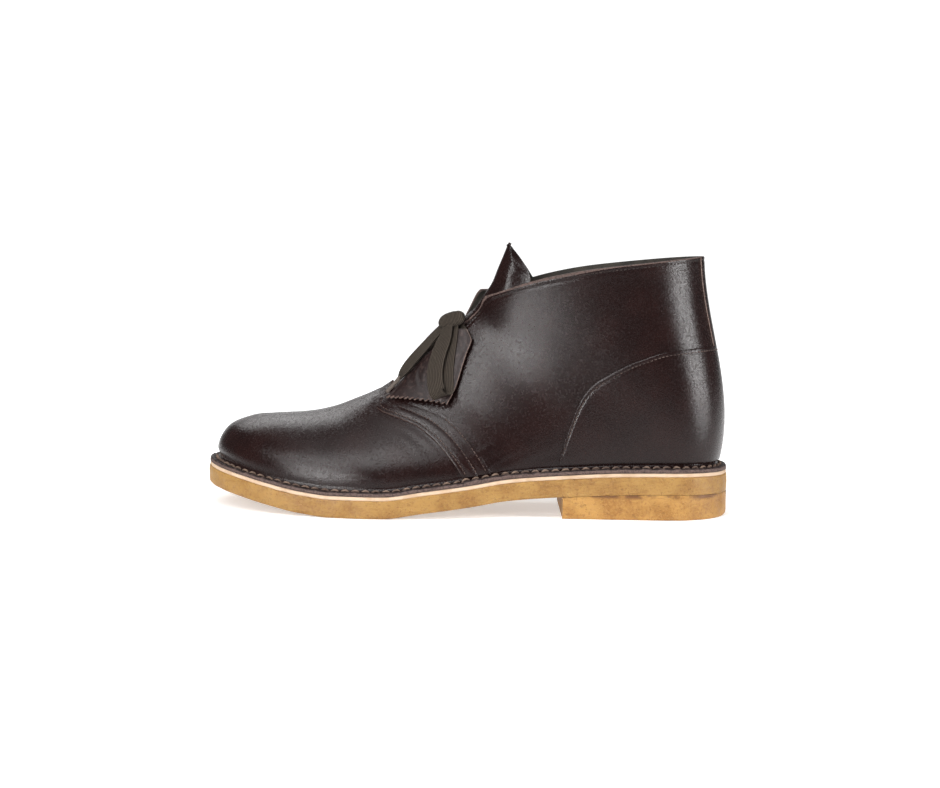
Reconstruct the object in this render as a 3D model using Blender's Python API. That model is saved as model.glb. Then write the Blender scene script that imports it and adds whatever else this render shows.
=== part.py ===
"""Left chukka boot in smooth dark leather on a crepe sole, European size 42.

Metres, +Z up. The toe points to +X and the outer side of the foot to +Y. The floor is z = 0 and
the origin is under the middle of the sole's length and width.
"""

import math

import bmesh
import bpy
import numpy as np
from mathutils import Matrix, Vector

# Main sizes of the sole and the last
LENGTH = 0.300
BALL_WIDTH = 0.106
HEEL_HEIGHT = 0.0145
TOE_SPRING = 0.0116
VAMP_HEIGHT = 0.0554
SHAFT_HEIGHT = 0.1211

# Layers
OUTSOLE_THICKNESS = 0.0102
MIDSOLE_THICKNESS = 0.0020
INSOLE_THICKNESS = 0.0026
WALL = 0.0020
QUARTER_STEP = 0.0012
QUARTER_STEP_FADE = 0.75
FLANGE_STEP_SHARE = 0.60
COUNTER_THICKNESS = 0.0013
STRIP_THICKNESS = 0.0012
TONGUE_THICKNESS = 0.0018
CLEARANCE = 0.0003

# Bottom edge
FLANGE_WIDTH = 0.0060
FLANGE_ROOT_RADIUS = 0.0022
SOLE_EDGE_ROUND = 0.0012
HEEL_BREAST_AT = 0.32
HEEL_BACK_BEVEL = 0.0030
MIDSOLE_INSET = 0.0006
FLANGE_EDGE_INSET = 0.0004
FLANGE_ROOT_TURNS = (0.0, 35.0, 68.0)

# Throat, eyelets and tongue
THROAT_FRONT_AT = 0.673
THROAT_HALF_WIDTH_LOW = 0.0130
THROAT_HALF_WIDTH_TOP = 0.0095
THROAT_CORNER = 0.0030
EYELET_RADIUS = 0.0022
EYELET_FROM_EDGE = 0.0075
EYELET_ROWS = (9.55, 10.50)

# Lace and its tag
LACE_THICKNESS = 0.0014
TIP_RADIUS = 0.0012
KNOT_WIDTH = 0.0095
KNOT_THICKNESS = 0.0072
BAR_WIDTH = 0.0050
BAR_THICKNESS = 0.0011
BAR_LIFT = 0.0010
FOB_THICKNESS = 0.0014
FOB_TEETH = 13
FOB_TOOTH_DEPTH = 0.0007
FOB_ARCH = 0.0006
FAR_LOOP_DROP = 0.0028
FAR_END_DROP = 0.0032
FAR_TIP_DROP = 0.0024

# Height of the bed, where the upper and the insole sit, above the flat forefoot.
# along is a share of LENGTH from the heel; heel and toe are shares of HEEL_HEIGHT and TOE_SPRING.
BED_COLUMNS = ("along", "heel", "toe")
BED = (
    (0.00, 0.97, 0.00),
    (0.10, 1.00, 0.00),
    (0.20, 0.97, 0.00),
    (0.33, 0.82, 0.00),
    (0.42, 0.68, 0.00),
    (0.50, 0.42, 0.00),
    (0.58, 0.21, 0.00),
    (0.66, 0.00, 0.00),
    (0.75, 0.00, 0.00),
    (0.81, 0.00, 0.13),
    (0.87, 0.00, 0.39),
    (0.94, 0.00, 0.73),
    (1.00, 0.00, 1.00),
)

# Sections of the last, from the toe to the heel. Each one is a curve from the sole's edge to the top.
# along and top_along are shares of LENGTH, outer to top_inner shares of BALL_WIDTH across.
# height is 0 to 1 over VAMP_HEIGHT and 1 to 2 over the rest of SHAFT_HEIGHT.
# wall, lean, spread, slide and drop are shares of the section's own rise and reach; flare and tuck of BALL_WIDTH.
SECTION_COLUMNS = (
    "along", "outer", "inner", "top_along", "top_outer", "top_inner", "height",
    "wall", "flare", "lean", "spread", "slide", "drop", "tuck",
)
SECTIONS = (
    (1.000, -0.085, -0.085, 0.882, -0.066, -0.066, 0.612, 0.56, 0.008, 0.00, 0.58, 0.56, 0.00, 0.000),
    (0.990, 0.066, -0.226, 0.880, -0.066, -0.066, 0.614, 0.55, 0.010, 0.00, 0.60, 0.60, 0.00, 0.000),
    (0.957, 0.212, -0.344, 0.873, -0.066, -0.066, 0.625, 0.53, 0.012, 0.00, 0.58, 0.58, 0.00, 0.000),
    (0.907, 0.325, -0.425, 0.855, -0.064, -0.064, 0.650, 0.52, 0.014, 0.00, 0.54, 0.45, 0.00, 0.000),
    (0.847, 0.410, -0.472, 0.828, -0.061, -0.061, 0.686, 0.50, 0.018, 0.00, 0.48, 0.25, 0.00, 0.000),
    (0.773, 0.472, -0.495, 0.797, -0.057, -0.057, 0.728, 0.49, 0.022, 0.05, 0.44, 0.08, 0.00, 0.000),
    (0.693, 0.500, -0.481, 0.758, -0.052, -0.052, 0.798, 0.47, 0.025, 0.10, 0.41, 0.00, 0.00, 0.000),
    (0.607, 0.486, -0.425, 0.717, -0.047, -0.047, 0.888, 0.45, 0.025, 0.12, 0.40, 0.00, 0.00, 0.000),
    (0.513, 0.437, -0.349, 0.675, -0.042, -0.042, 0.990, 0.43, 0.020, 0.14, 0.43, 0.00, 0.00, 0.000),
    (0.440, 0.390, -0.311, 0.620, -0.033, -0.033, 1.150, 0.40, 0.022, 0.12, 0.46, 0.00, 0.00, 0.000),
    (0.387, 0.366, -0.302, 0.563, -0.024, -0.024, 1.387, 0.40, 0.028, 0.10, 0.56, 0.00, 0.00, 0.000),
    (0.333, 0.352, -0.308, 0.503, -0.014, -0.014, 1.690, 0.38, 0.035, 0.08, 0.62, 0.00, 0.00, 0.000),
    (0.273, 0.346, -0.324, 0.457, 0.142, -0.142, 1.737, 0.36, 0.042, 0.06, 0.50, 0.00, 0.16, 0.000),
    (0.213, 0.345, -0.338, 0.373, 0.245, -0.245, 1.834, 0.35, 0.050, 0.05, 0.20, 0.00, 0.28, 0.030),
    (0.147, 0.342, -0.342, 0.280, 0.297, -0.297, 1.898, 0.34, 0.060, 0.03, 0.00, 0.00, 0.34, 0.030),
    (0.083, 0.320, -0.320, 0.180, 0.278, -0.278, 1.939, 0.335, 0.075, 0.00, 0.00, 0.05, 0.34, 0.020),
    (0.023, 0.201, -0.201, 0.093, 0.165, -0.165, 1.982, 0.333, 0.090, 0.00, 0.00, 0.10, 0.335, 0.000),
    (0.000, 0.000, 0.000, 0.058, 0.000, 0.000, 2.000, 0.333, 0.094, 0.00, 0.00, 0.10, 0.335, 0.000),
)
# Line where the quarters' front edge crosses each level of the wall, by section row
SEAM_COLUMNS = ("level", "row")
SEAM = (
    (0.00, 8.10),
    (0.18, 8.05),
    (0.31, 8.05),
    (0.38, 8.02),
    (0.46, 7.96),
    (0.53, 7.80),
    (0.69, 7.45),
    (0.77, 7.70),
    (0.85, 7.95),
    (1.00, 8.22),
)

# Upper edge of the heel counter: the level it reaches at each section row
COUNTER_COLUMNS = ("row", "level")
COUNTER = (
    (11.14, 0.030),
    (11.35, 0.101),
    (12.17, 0.271),
    (12.96, 0.391),
    (13.63, 0.462),
    (14.44, 0.528),
    (15.16, 0.563),
    (15.94, 0.568),
    (17.00, 0.562),
)
COUNTER_FOOT_LEVEL = 0.012
COUNTER_EASE = 0.0001

# Strip down the back seam: half its width in rows, and its distance above the counter in levels
STRIP_ROWS = 0.42
STRIP_GAP_LEVEL = 0.012

# Tongue, from the end under the vamp to the tip. row is the section row that its face follows from below.
# Past the front of the collar, beyond is how far it stands up from there and back how far it leans to the heel.
TONGUE_COLUMNS = ("row", "beyond", "back", "half_width", "curl")
TONGUE = (
    (6.70, 0.0, 0.0, 0.0160, 0.0),
    (7.33, 0.0, 0.0, 0.0180, 0.0),
    (8.00, 0.0, 0.0, 0.0190, 0.0),
    (8.67, 0.0, 0.0, 0.0190, 0.0),
    (9.33, 0.0, 0.0, 0.0190, 0.0),
    (10.00, 0.0, 0.0, 0.0190, 0.0),
    (10.67, 0.0, 0.0, 0.0190, 0.0),
    (10.67, 0.0050, 0.0062, 0.0176, 0.0052),
    (10.67, 0.0110, 0.0114, 0.0180, 0.0056),
    (10.67, 0.0190, 0.0166, 0.0190, 0.0040),
    (10.67, 0.0265, 0.0194, 0.0182, 0.0045),
    (10.67, 0.0335, 0.0222, 0.0150, 0.0060),
    (10.67, 0.0390, 0.0243, 0.0095, 0.0045),
    (10.67, 0.0422, 0.0256, 0.0036, 0.0015),
)
TONGUE_ACROSS = 6
TONGUE_EASE = 0.0004

# Tag under the knot: its left and right borders on the leather, from its top to its lower edge
FOB_COLUMNS = ("left_row", "left_level", "left_lift", "right_row", "right_level", "right_lift")
FOB = (
    (10.37, 0.819, 0.0023, 10.60, 0.750, 0.0022),
    (9.93, 0.830, 0.0024, 10.54, 0.691, 0.0023),
    (9.46, 0.835, 0.0025, 10.24, 0.650, 0.0025),
    (8.80, 0.800, 0.0025, 9.91, 0.604, 0.0027),
    (8.36, 0.758, 0.0024, 9.53, 0.553, 0.0029),
    (8.00, 0.731, 0.0016, 9.07, 0.503, 0.0032),
)

# Knot: the section row, level and lift of its two ends
KNOT_COLUMNS = ("row", "level", "lift")
KNOT = (
    (10.28, 0.895, 0.0074),
    (10.75, 0.812, 0.0056),
)

# Lace courses on the leather, each from the knot down
COURSE_COLUMNS = ("row", "level", "lift", "width")
LOOP = (
    (10.22, 0.781, 0.0058, 0.0076),
    (10.09, 0.763, 0.0058, 0.0120),
    (9.77, 0.711, 0.0058, 0.0155),
    (9.43, 0.640, 0.0058, 0.0165),
    (9.21, 0.575, 0.0060, 0.0140),
    (9.07, 0.536, 0.0060, 0.0090),
)
END = (
    (10.05, 0.880, 0.0062, 0.0060),
    (9.72, 0.874, 0.0060, 0.0080),
    (9.27, 0.862, 0.0060, 0.0082),
    (8.90, 0.830, 0.0056, 0.0070),
    (8.69, 0.803, 0.0054, 0.0040),
)
TIP_COLUMNS = ("row", "level", "lift")
TIP = (
    (8.655, 0.800, 0.0052),
    (8.02, 0.744, 0.0042),
)

HEEL_ROW = len(SECTIONS) - 1
SEAM_ROW = 8
COLLAR_FRONT_ROW = 11
LOOP_ROWS = 2 * HEEL_ROW
STEPS_PER_ROW = 3
FINE_STEPS = 24
SMOOTHING_PASSES = 60
SHAPE_SMOOTHING_PASSES = 300
SHAPE_COLUMNS = ("wall", "flare", "lean", "spread", "slide", "drop", "tuck")
SEAM_SPREAD_ROWS = 2.6
SEAM_GAP_ROWS = 1e-4
SMOOTH_ANGLE = 38.0

PART = "chukka_boot"

# Looks of each piece: red, green and blue in linear values, then roughness
LEATHER = (0.028, 0.013, 0.011, 0.38)
EDGE_LEATHER = (0.55, 0.42, 0.30, 0.60)
CREPE = (0.52, 0.30, 0.08, 0.62)
CREPE_DARK = (0.44, 0.24, 0.06, 0.66)
LINING = (0.20, 0.13, 0.08, 0.70)
LACE = (0.035, 0.027, 0.018, 0.85)
TIP_LOOK = (0.030, 0.024, 0.018, 0.40)
LOOKS = {
    "outsole": CREPE,
    "heel": CREPE_DARK,
    "midsole": EDGE_LEATHER,
    "insole": LINING,
    "upper": LEATHER,
    "tongue": LEATHER,
    "heel_counter": LEATHER,
    "back_strip": LEATHER,
    "fob": LEATHER,
    "lace_near_tip": TIP_LOOK,
    "lace_far_tip": TIP_LOOK,
}


def slopes_of(xs, ys):
    """End slopes and inner slopes of a monotone cubic through the points."""
    h = np.diff(xs)
    d = np.diff(ys) / h
    m = np.zeros(len(xs))
    for k in range(1, len(xs) - 1):
        if d[k - 1] * d[k] > 0:
            w1 = 2 * h[k] + h[k - 1]
            w2 = h[k] + 2 * h[k - 1]
            m[k] = (w1 + w2) / (w1 / d[k - 1] + w2 / d[k])
    m[0] = d[0]
    m[-1] = d[-1]
    return m


def monotone(xs, ys, at):
    """Monotone cubic through (xs, ys), read at the given places."""
    xs = np.asarray(xs, float)
    ys = np.asarray(ys, float)
    at = np.clip(at, xs[0], xs[-1])
    m = slopes_of(xs, ys)
    k = np.clip(np.searchsorted(xs, at, side="right") - 1, 0, len(xs) - 2)
    h = xs[k + 1] - xs[k]
    t = (at - xs[k]) / h
    return (
        ys[k] * (1 + 2 * t) * (1 - t) ** 2
        + m[k] * h * t * (1 - t) ** 2
        + ys[k + 1] * t * t * (3 - 2 * t)
        + m[k + 1] * h * t * t * (t - 1)
    )


def closed_spline(points, at):
    """Smooth closed curve through the points, one point per unit of at."""
    points = np.asarray(points, float)
    n = len(points)
    ahead = np.roll(points, -1, axis=0)
    behind = np.roll(points, 1, axis=0)
    matrix = 4 * np.eye(n) + np.roll(np.eye(n), 1, axis=1) + np.roll(np.eye(n), -1, axis=1)
    tangents = np.linalg.solve(matrix, 3 * (ahead - behind))
    at = np.mod(at, n)
    k = np.floor(at).astype(int) % n
    t = (at - np.floor(at))[..., None]
    following = (k + 1) % n
    return (
        points[k] * (1 + 2 * t) * (1 - t) ** 2
        + tangents[k] * t * (1 - t) ** 2
        + points[following] * t * t * (3 - 2 * t)
        + tangents[following] * t * t * (t - 1)
    )


def smoothed(values, passes):
    for _ in range(passes):
        values = (np.roll(values, 1, axis=0) + 2 * values + np.roll(values, -1, axis=0)) / 4
    return values


def by_column(columns, rows):
    """Table as one array per named column."""
    return {name: np.array([row[k] for row in rows]) for k, name in enumerate(columns)}


BED_TABLE = by_column(BED_COLUMNS, BED)
SECTION_TABLE = by_column(SECTION_COLUMNS, SECTIONS)
SEAM_TABLE = by_column(SEAM_COLUMNS, SEAM)
COUNTER_TABLE = by_column(COUNTER_COLUMNS, COUNTER)
TONGUE_TABLE = by_column(TONGUE_COLUMNS, TONGUE)
FOB_TABLE = by_column(FOB_COLUMNS, FOB)
KNOT_TABLE = by_column(KNOT_COLUMNS, KNOT)
LOOP_TABLE = by_column(COURSE_COLUMNS, LOOP)
END_TABLE = by_column(COURSE_COLUMNS, END)
TIP_TABLE = by_column(TIP_COLUMNS, TIP)


def sole_lift(x):
    """Height of the outsole's underside above the floor at x."""
    along = np.asarray(x, float) / LENGTH + 0.5
    heel = monotone(BED_TABLE["along"], BED_TABLE["heel"], along)
    toe = monotone(BED_TABLE["along"], BED_TABLE["toe"], along)
    return HEEL_HEIGHT * heel + TOE_SPRING * toe


def bed(x):
    """Height of the midsole's top at x."""
    return sole_lift(x) + OUTSOLE_THICKNESS + CLEARANCE + MIDSOLE_THICKNESS


def looped(outer, inner):
    """Values of the outer rows from toe to heel, then of the inner rows back to the toe."""
    return np.concatenate([outer, inner[-2:0:-1]])


def outline_points():
    along = SECTION_TABLE["along"]
    x = looped(along, along) * LENGTH - LENGTH / 2
    y = looped(SECTION_TABLE["outer"], SECTION_TABLE["inner"]) * BALL_WIDTH
    points = np.stack([x, y], axis=1)
    widest = closed_spline(points, np.arange(LOOP_ROWS * STEPS_PER_ROW) / STEPS_PER_ROW)[:, 1]
    points[:, 1] -= (widest.max() + widest.min()) / 2
    return points


OUTLINE = outline_points()
CENTRE_SHIFT = OUTLINE[0, 1] - SECTION_TABLE["outer"][0] * BALL_WIDTH


def outline(at, inset=0.0):
    """Plan of the sole's edge at loop places, moved inwards by inset."""
    at = np.asarray(at, float)
    small = 1e-3
    point = closed_spline(OUTLINE, at)
    tangent = closed_spline(OUTLINE, at + small) - closed_spline(OUTLINE, at - small)
    tangent /= np.linalg.norm(tangent, axis=-1, keepdims=True)
    outward = np.stack([tangent[..., 1], -tangent[..., 0]], axis=-1)
    return point - outward * inset, outward


def section_values():
    """Each section quantity at FINE_STEPS places per row, all round the loop."""
    rows = SECTION_TABLE
    top_x = rows["top_along"] * LENGTH - LENGTH / 2
    low = np.minimum(rows["height"], 1.0) * VAMP_HEIGHT
    high = np.maximum(rows["height"] - 1.0, 0.0) * (SHAFT_HEIGHT - VAMP_HEIGHT)
    top_z = bed(top_x) + low + high
    ridge = slice(COLLAR_FRONT_ROW, None, -1)
    ridge_slopes = slopes_of(top_x[ridge], top_z[ridge])[::-1]
    slope = np.zeros(len(top_x))
    slope[: COLLAR_FRONT_ROW + 1] = ridge_slopes
    slope[0] = slope[1]
    keys = {"top_x": looped(top_x, top_x), "top_z": looped(top_z, top_z), "slope": looped(slope, slope)}
    keys["top_y"] = looped(rows["top_outer"], rows["top_inner"]) * BALL_WIDTH + CENTRE_SHIFT
    for name in SHAPE_COLUMNS:
        keys[name] = looped(rows[name], rows[name])
    margin = 4
    at_keys = np.arange(-margin, LOOP_ROWS + margin + 1)
    fine = np.arange(LOOP_ROWS * FINE_STEPS) / FINE_STEPS
    out = {}
    for name, values in keys.items():
        passes = SHAPE_SMOOTHING_PASSES if name in SHAPE_COLUMNS else SMOOTHING_PASSES
        out[name] = smoothed(monotone(at_keys, values[at_keys % LOOP_ROWS], fine), passes)
    return out


FINE = section_values()


def fine(name, at):
    """Section quantity at loop places."""
    table = FINE[name]
    place = np.mod(np.asarray(at, float), LOOP_ROWS) * FINE_STEPS
    k = np.floor(place).astype(int)
    t = place - k
    n = len(table)
    return table[k % n] * (1 - t) + table[(k + 1) % n] * t


def flange_top(x):
    return bed(x) + CLEARANCE + WALL


def wall_point(at, v):
    """Outer face of the upper's wall: at is the place round the loop, v runs from the root to the top."""
    at, v = np.broadcast_arrays(np.asarray(at, float), np.asarray(v, float))
    edge, outward = outline(at, FLANGE_WIDTH)
    start = np.stack([edge[..., 0], edge[..., 1], flange_top(edge[..., 0]) + FLANGE_ROOT_RADIUS], axis=-1)
    top = np.stack([fine("top_x", at), fine("top_y", at), fine("top_z", at)], axis=-1)
    out3 = np.concatenate([outward, np.zeros_like(outward[..., :1])], axis=-1)
    up = np.array([0.0, 0.0, 1.0])
    rise = (top[..., 2] - start[..., 2])[..., None]
    reach = top - start
    first = start + out3 * fine("flare", at)[..., None] * BALL_WIDTH + up * rise * fine("wall", at)[..., None]
    first[..., 0] += fine("lean", at) * reach[..., 0]
    second = top - up * rise * fine("drop", at)[..., None]
    second -= out3 * fine("tuck", at)[..., None] * BALL_WIDTH
    second[..., 1] -= fine("spread", at) * reach[..., 1]
    slide = -fine("slide", at) * reach[..., 0]
    second[..., 0] += slide
    second[..., 2] += slide * fine("slope", at)
    t = v[..., None]
    return (
        start * (1 - t) ** 3
        + 3 * first * t * (1 - t) ** 2
        + 3 * second * t * t * (1 - t)
        + top * t**3
    )


def wall_normal(at, v):
    """Outward unit normal of the wall."""
    at, v = np.broadcast_arrays(np.asarray(at, float), np.asarray(v, float))
    small = 2e-3
    low = np.clip(v - small, 0.0, 1.0)
    high = np.clip(v + small, 0.0, 1.0)
    near_top = np.minimum(v, 0.985)
    along = wall_point(at + 0.02, near_top) - wall_point(at - 0.02, near_top)
    upward = wall_point(at, high) - wall_point(at, low)
    normal = np.cross(along, upward)
    normal /= np.linalg.norm(normal, axis=-1, keepdims=True)
    place = np.mod(at, LOOP_ROWS)
    on_ridge = (np.minimum(place, LOOP_ROWS - place) <= COLLAR_FRONT_ROW) & (v > 0.9999)
    slope = fine("slope", at)
    ridge_normal = np.stack([-slope, np.zeros_like(slope), np.ones_like(slope)], axis=-1)
    ridge_normal /= np.linalg.norm(ridge_normal, axis=-1, keepdims=True)
    return np.where(on_ridge[..., None], ridge_normal, normal)


def offset_wall(at, v, lift):
    lift = np.asarray(lift, float)
    return wall_point(at, v) + wall_normal(at, v) * lift[..., None]


# Places of the columns round the loop, shared by every piece that follows the outline
COLUMN_COUNT = LOOP_ROWS * STEPS_PER_ROW
COLUMNS = np.arange(COLUMN_COUNT) / STEPS_PER_ROW
OUTER_LEVELS = np.linspace(0.0, 1.0, 13)
INNER_LEVELS = np.linspace(0.0, 1.0, 7)


def bed_points(at, inset, height):
    """Points on the sole's outline moved inwards, at a height above the underside of the outsole."""
    plan, _ = outline(at, inset)
    return np.stack([plan[:, 0], plan[:, 1], sole_lift(plan[:, 0]) + height], axis=1)


def new_object(name, points, faces, collection, smooth=True):
    mesh = bpy.data.meshes.new(name)
    mesh.from_pydata([tuple(p) for p in points], [], [tuple(f) for f in faces])
    build = bmesh.new()
    build.from_mesh(mesh)
    bmesh.ops.remove_doubles(build, verts=build.verts, dist=1e-6)
    bmesh.ops.recalc_face_normals(build, faces=build.faces)
    build.to_mesh(mesh)
    build.free()
    for polygon in mesh.polygons:
        polygon.use_smooth = smooth
    if smooth:
        mesh.set_sharp_from_angle(angle=math.radians(SMOOTH_ANGLE))
    thing = bpy.data.objects.new(name, mesh)
    collection.objects.link(thing)
    return thing


def ring_stack(name, rings, collection):
    """Closed solid through rings of equal length round the sole, with a flat-across cap at each end."""
    count = len(rings[0])
    points = np.concatenate(rings)
    faces = []
    for r in range(len(rings) - 1):
        for k in range(count):
            following = (k + 1) % count
            faces.append((r * count + k, r * count + following, (r + 1) * count + following, (r + 1) * count + k))
    half = count // 2
    for base in (0, (len(rings) - 1) * count):
        faces.append((base, base + 1, base + count - 1))
        for k in range(1, half - 1):
            faces.append((base + k, base + k + 1, base + count - k - 1, base + count - k))
        faces.append((base + half - 1, base + half, base + half + 1))
    return new_object(name, points, faces, collection)


def make_outsole(collection):
    round_in = SOLE_EDGE_ROUND
    rings = [
        bed_points(COLUMNS, round_in * 2.2, 0.0),
        bed_points(COLUMNS, round_in * 0.6, round_in * 0.35),
        bed_points(COLUMNS, 0.0, round_in * 1.4),
        bed_points(COLUMNS, 0.0, OUTSOLE_THICKNESS),
    ]
    return ring_stack("outsole", rings, collection)


def make_midsole(collection):
    low = OUTSOLE_THICKNESS + CLEARANCE
    rings = [
        bed_points(COLUMNS, MIDSOLE_INSET, low),
        bed_points(COLUMNS, MIDSOLE_INSET, low + MIDSOLE_THICKNESS),
    ]
    return ring_stack("midsole", rings, collection)


def make_insole(collection):
    low = OUTSOLE_THICKNESS + MIDSOLE_THICKNESS + 2 * CLEARANCE
    inset = FLANGE_WIDTH + WALL + CLEARANCE
    rings = [
        bed_points(COLUMNS, inset, low),
        bed_points(COLUMNS, inset, low + INSOLE_THICKNESS),
    ]
    return ring_stack("insole", rings, collection)


def make_heel(collection):
    """Block under the back of the outsole, with an upright breast and a bevelled lower edge at the back."""
    breast = LENGTH * HEEL_BREAST_AT - LENGTH / 2
    spread = np.linspace(0.0, 1.0, 401)

    def crossing(first, last):
        places = first + (last - first) * spread
        plan, _ = outline(places)
        return places[np.argmin(np.abs(plan[:, 0] - breast))]

    start = crossing(SEAM_ROW, HEEL_ROW - 1)
    end = crossing(LOOP_ROWS - SEAM_ROW, HEEL_ROW + 1)
    inside = COLUMNS[(COLUMNS > start + 0.1) & (COLUMNS < end - 0.1)]
    places = np.concatenate([[start], inside, [end]])
    count = len(places)
    back = np.sin(np.linspace(0.0, math.pi, count)) ** 2

    def ring(inset, height, from_top):
        plan, outward = outline(places)
        plan = plan - outward * (np.broadcast_to(inset, count))[:, None]
        plan[0, 0] = breast
        plan[-1, 0] = breast
        z = sole_lift(plan[:, 0]) - CLEARANCE if from_top else np.broadcast_to(height, count)
        return np.stack([plan[:, 0], plan[:, 1], z], axis=1)

    bevel = SOLE_EDGE_ROUND + (HEEL_BACK_BEVEL - SOLE_EDGE_ROUND) * back
    rings = [
        ring(bevel, 0.0, False),
        ring(bevel * 0.3, bevel * 0.35, False),
        ring(0.0, bevel, False),
        ring(0.0, 0.0, True),
    ]
    points = np.concatenate(rings)
    faces = []
    for r in range(len(rings) - 1):
        for k in range(count - 1):
            faces.append((r * count + k, r * count + k + 1, (r + 1) * count + k + 1, (r + 1) * count + k))
        faces.append((r * count + count - 1, r * count, (r + 1) * count, (r + 1) * count + count - 1))
    for base in (0, (len(rings) - 1) * count):
        for k in range(count // 2 - 1):
            faces.append((base + k, base + k + 1, base + count - k - 2, base + count - k - 1))
        if count % 2:
            middle = count // 2
            faces.append((base + middle - 1, base + middle, base + middle + 1))
    return new_object("heel", points, faces, collection)


def skewed(at, level):
    """Loop place of a column at a level, with the columns near the seam drawn onto the seam's own line."""
    at = np.asarray(at, float)
    place = np.mod(at, LOOP_ROWS)
    inner_side = place > HEEL_ROW
    row = np.where(inner_side, LOOP_ROWS - place, place)
    shift = monotone(SEAM_TABLE["level"], SEAM_TABLE["row"], np.asarray(level, float)) - SEAM_ROW
    nearness = np.clip(1.0 - np.abs(row - SEAM_ROW) / SEAM_SPREAD_ROWS, 0.0, 1.0)
    shift = shift * nearness * nearness * (3 - 2 * nearness)
    return np.where(inner_side, place - shift, place + shift)


def wall_lift(at):
    """How far the leather stands out from the last's own face: the quarters overlap the vamp."""
    place = np.mod(np.asarray(at, float), LOOP_ROWS)
    row = np.minimum(place, LOOP_ROWS - place)
    behind = np.clip((row - SEAM_ROW) / (COLLAR_FRONT_ROW - SEAM_ROW), 0.0, 1.0)
    fade = 1.0 - QUARTER_STEP_FADE * behind * behind * (3 - 2 * behind)
    return np.where(row < SEAM_ROW, 0.0, QUARTER_STEP * fade)


def make_upper(collection):
    """One hollow solid: out-turned flange, vamp, quarters that overlap it, and a collar rim."""
    seam_places = (SEAM_ROW, LOOP_ROWS - SEAM_ROW)
    places = [p for p in COLUMNS if min(abs(p - s) for s in seam_places) > SEAM_GAP_ROWS]
    places += [seam + side * SEAM_GAP_ROWS for seam in seam_places for side in (-1, 1)]
    places = np.array(sorted(places))
    count = len(places)
    lift = wall_lift(places)
    rows = []
    foot = skewed(places, 0.0)

    def flat_row(inset, height):
        plan, _ = outline(foot, inset)
        return np.stack([plan[:, 0], plan[:, 1], bed(plan[:, 0]) + CLEARANCE + height], axis=1)

    rows.append(flat_row(FLANGE_WIDTH + WALL, 0.0))
    rows.append(flat_row(FLANGE_EDGE_INSET, 0.0))
    rows.append(flat_row(FLANGE_EDGE_INSET, WALL))
    for angle in np.radians(FLANGE_ROOT_TURNS):
        inset = FLANGE_WIDTH - FLANGE_ROOT_RADIUS * (1 - math.sin(angle))
        rows.append(flat_row(inset, WALL + FLANGE_ROOT_RADIUS * (1 - math.cos(angle))))
    for row in rows[2:]:
        row[:, 2] += lift * FLANGE_STEP_SHARE
    for level in OUTER_LEVELS:
        rows.append(offset_wall(skewed(places, level), np.full(count, level), lift))
    inner = []
    for level in INNER_LEVELS[::-1]:
        inner.append(offset_wall(skewed(places, level), np.full(count, level), np.full(count, -WALL)))
    top_row = len(rows) - 1
    rows += inner
    inner_top_row = top_row + 1
    points = np.concatenate(rows)
    half_row = np.minimum(places, LOOP_ROWS - places)

    def index(r, k):
        """Point number, with the inner side's ridge points replaced by the outer side's."""
        k = k % count
        if r in (top_row, inner_top_row) and places[k] > HEEL_ROW and half_row[k] < COLLAR_FRONT_ROW + 0.01:
            k = int(np.argmin(np.abs(places - (LOOP_ROWS - places[k]))))
        return r * count + k

    faces = []
    last = len(rows) - 1
    for k in range(count):
        middle = (places[k] + 1e-3) % LOOP_ROWS
        on_ridge = min(middle, LOOP_ROWS - middle) < COLLAR_FRONT_ROW - 0.01
        if places[k] > HEEL_ROW:
            on_ridge = LOOP_ROWS - places[k] <= COLLAR_FRONT_ROW + 0.01
        for r in range(len(rows)):
            following = r + 1 if r < last else 0
            if r == top_row and on_ridge:
                continue
            face = [index(r, k), index(r, k + 1), index(following, k + 1), index(following, k)]
            unique = list(dict.fromkeys(face))
            if len(unique) > 2:
                faces.append(unique)
    return new_object("upper", points, faces, collection)


def cut(thing, cutter):
    """Boolean with a cutter that is kept, hidden from renders."""
    cutter.hide_render = True
    cutter.display_type = "WIRE"
    modifier = thing.modifiers.new(cutter.name, "BOOLEAN")
    modifier.object = cutter
    modifier.operation = "DIFFERENCE"
    modifier.solver = "EXACT"


def ridge_line(x):
    """Sideways place of the upper's ridge at x."""
    rows = np.linspace(0.0, COLLAR_FRONT_ROW, 60)
    points = wall_point(rows, np.ones_like(rows))
    order = np.argsort(points[:, 0])
    return np.interp(x, points[order, 0], points[order, 1])


def throat_half_width(x):
    front = THROAT_FRONT_AT * LENGTH - LENGTH / 2
    top = wall_point(np.array([float(COLLAR_FRONT_ROW)]), np.array([1.0]))[0, 0]
    return np.interp(x, (top, front), (THROAT_HALF_WIDTH_TOP, THROAT_HALF_WIDTH_LOW))


def level_at_width(row, half_width, side):
    """Level of the wall, at a section row, that lies half_width to one side of the ridge."""
    at = row if side > 0 else LOOP_ROWS - row
    levels = np.linspace(0.3, 1.0, 200)
    points = wall_point(np.full(200, at), levels)
    away = np.abs(points[:, 1] - ridge_line(points[:, 0]))
    return levels[np.argmin(np.abs(away - half_width))]


def prism(name, outline_points_2d, low, high, collection):
    count = len(outline_points_2d)
    points = [(x, y, z) for z in (low, high) for x, y in outline_points_2d]
    faces = [tuple(range(count))[::-1], tuple(range(count, 2 * count))]
    for k in range(count):
        following = (k + 1) % count
        faces.append((k, following, count + following, count + k))
    return new_object(name, points, faces, collection, smooth=False)


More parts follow.
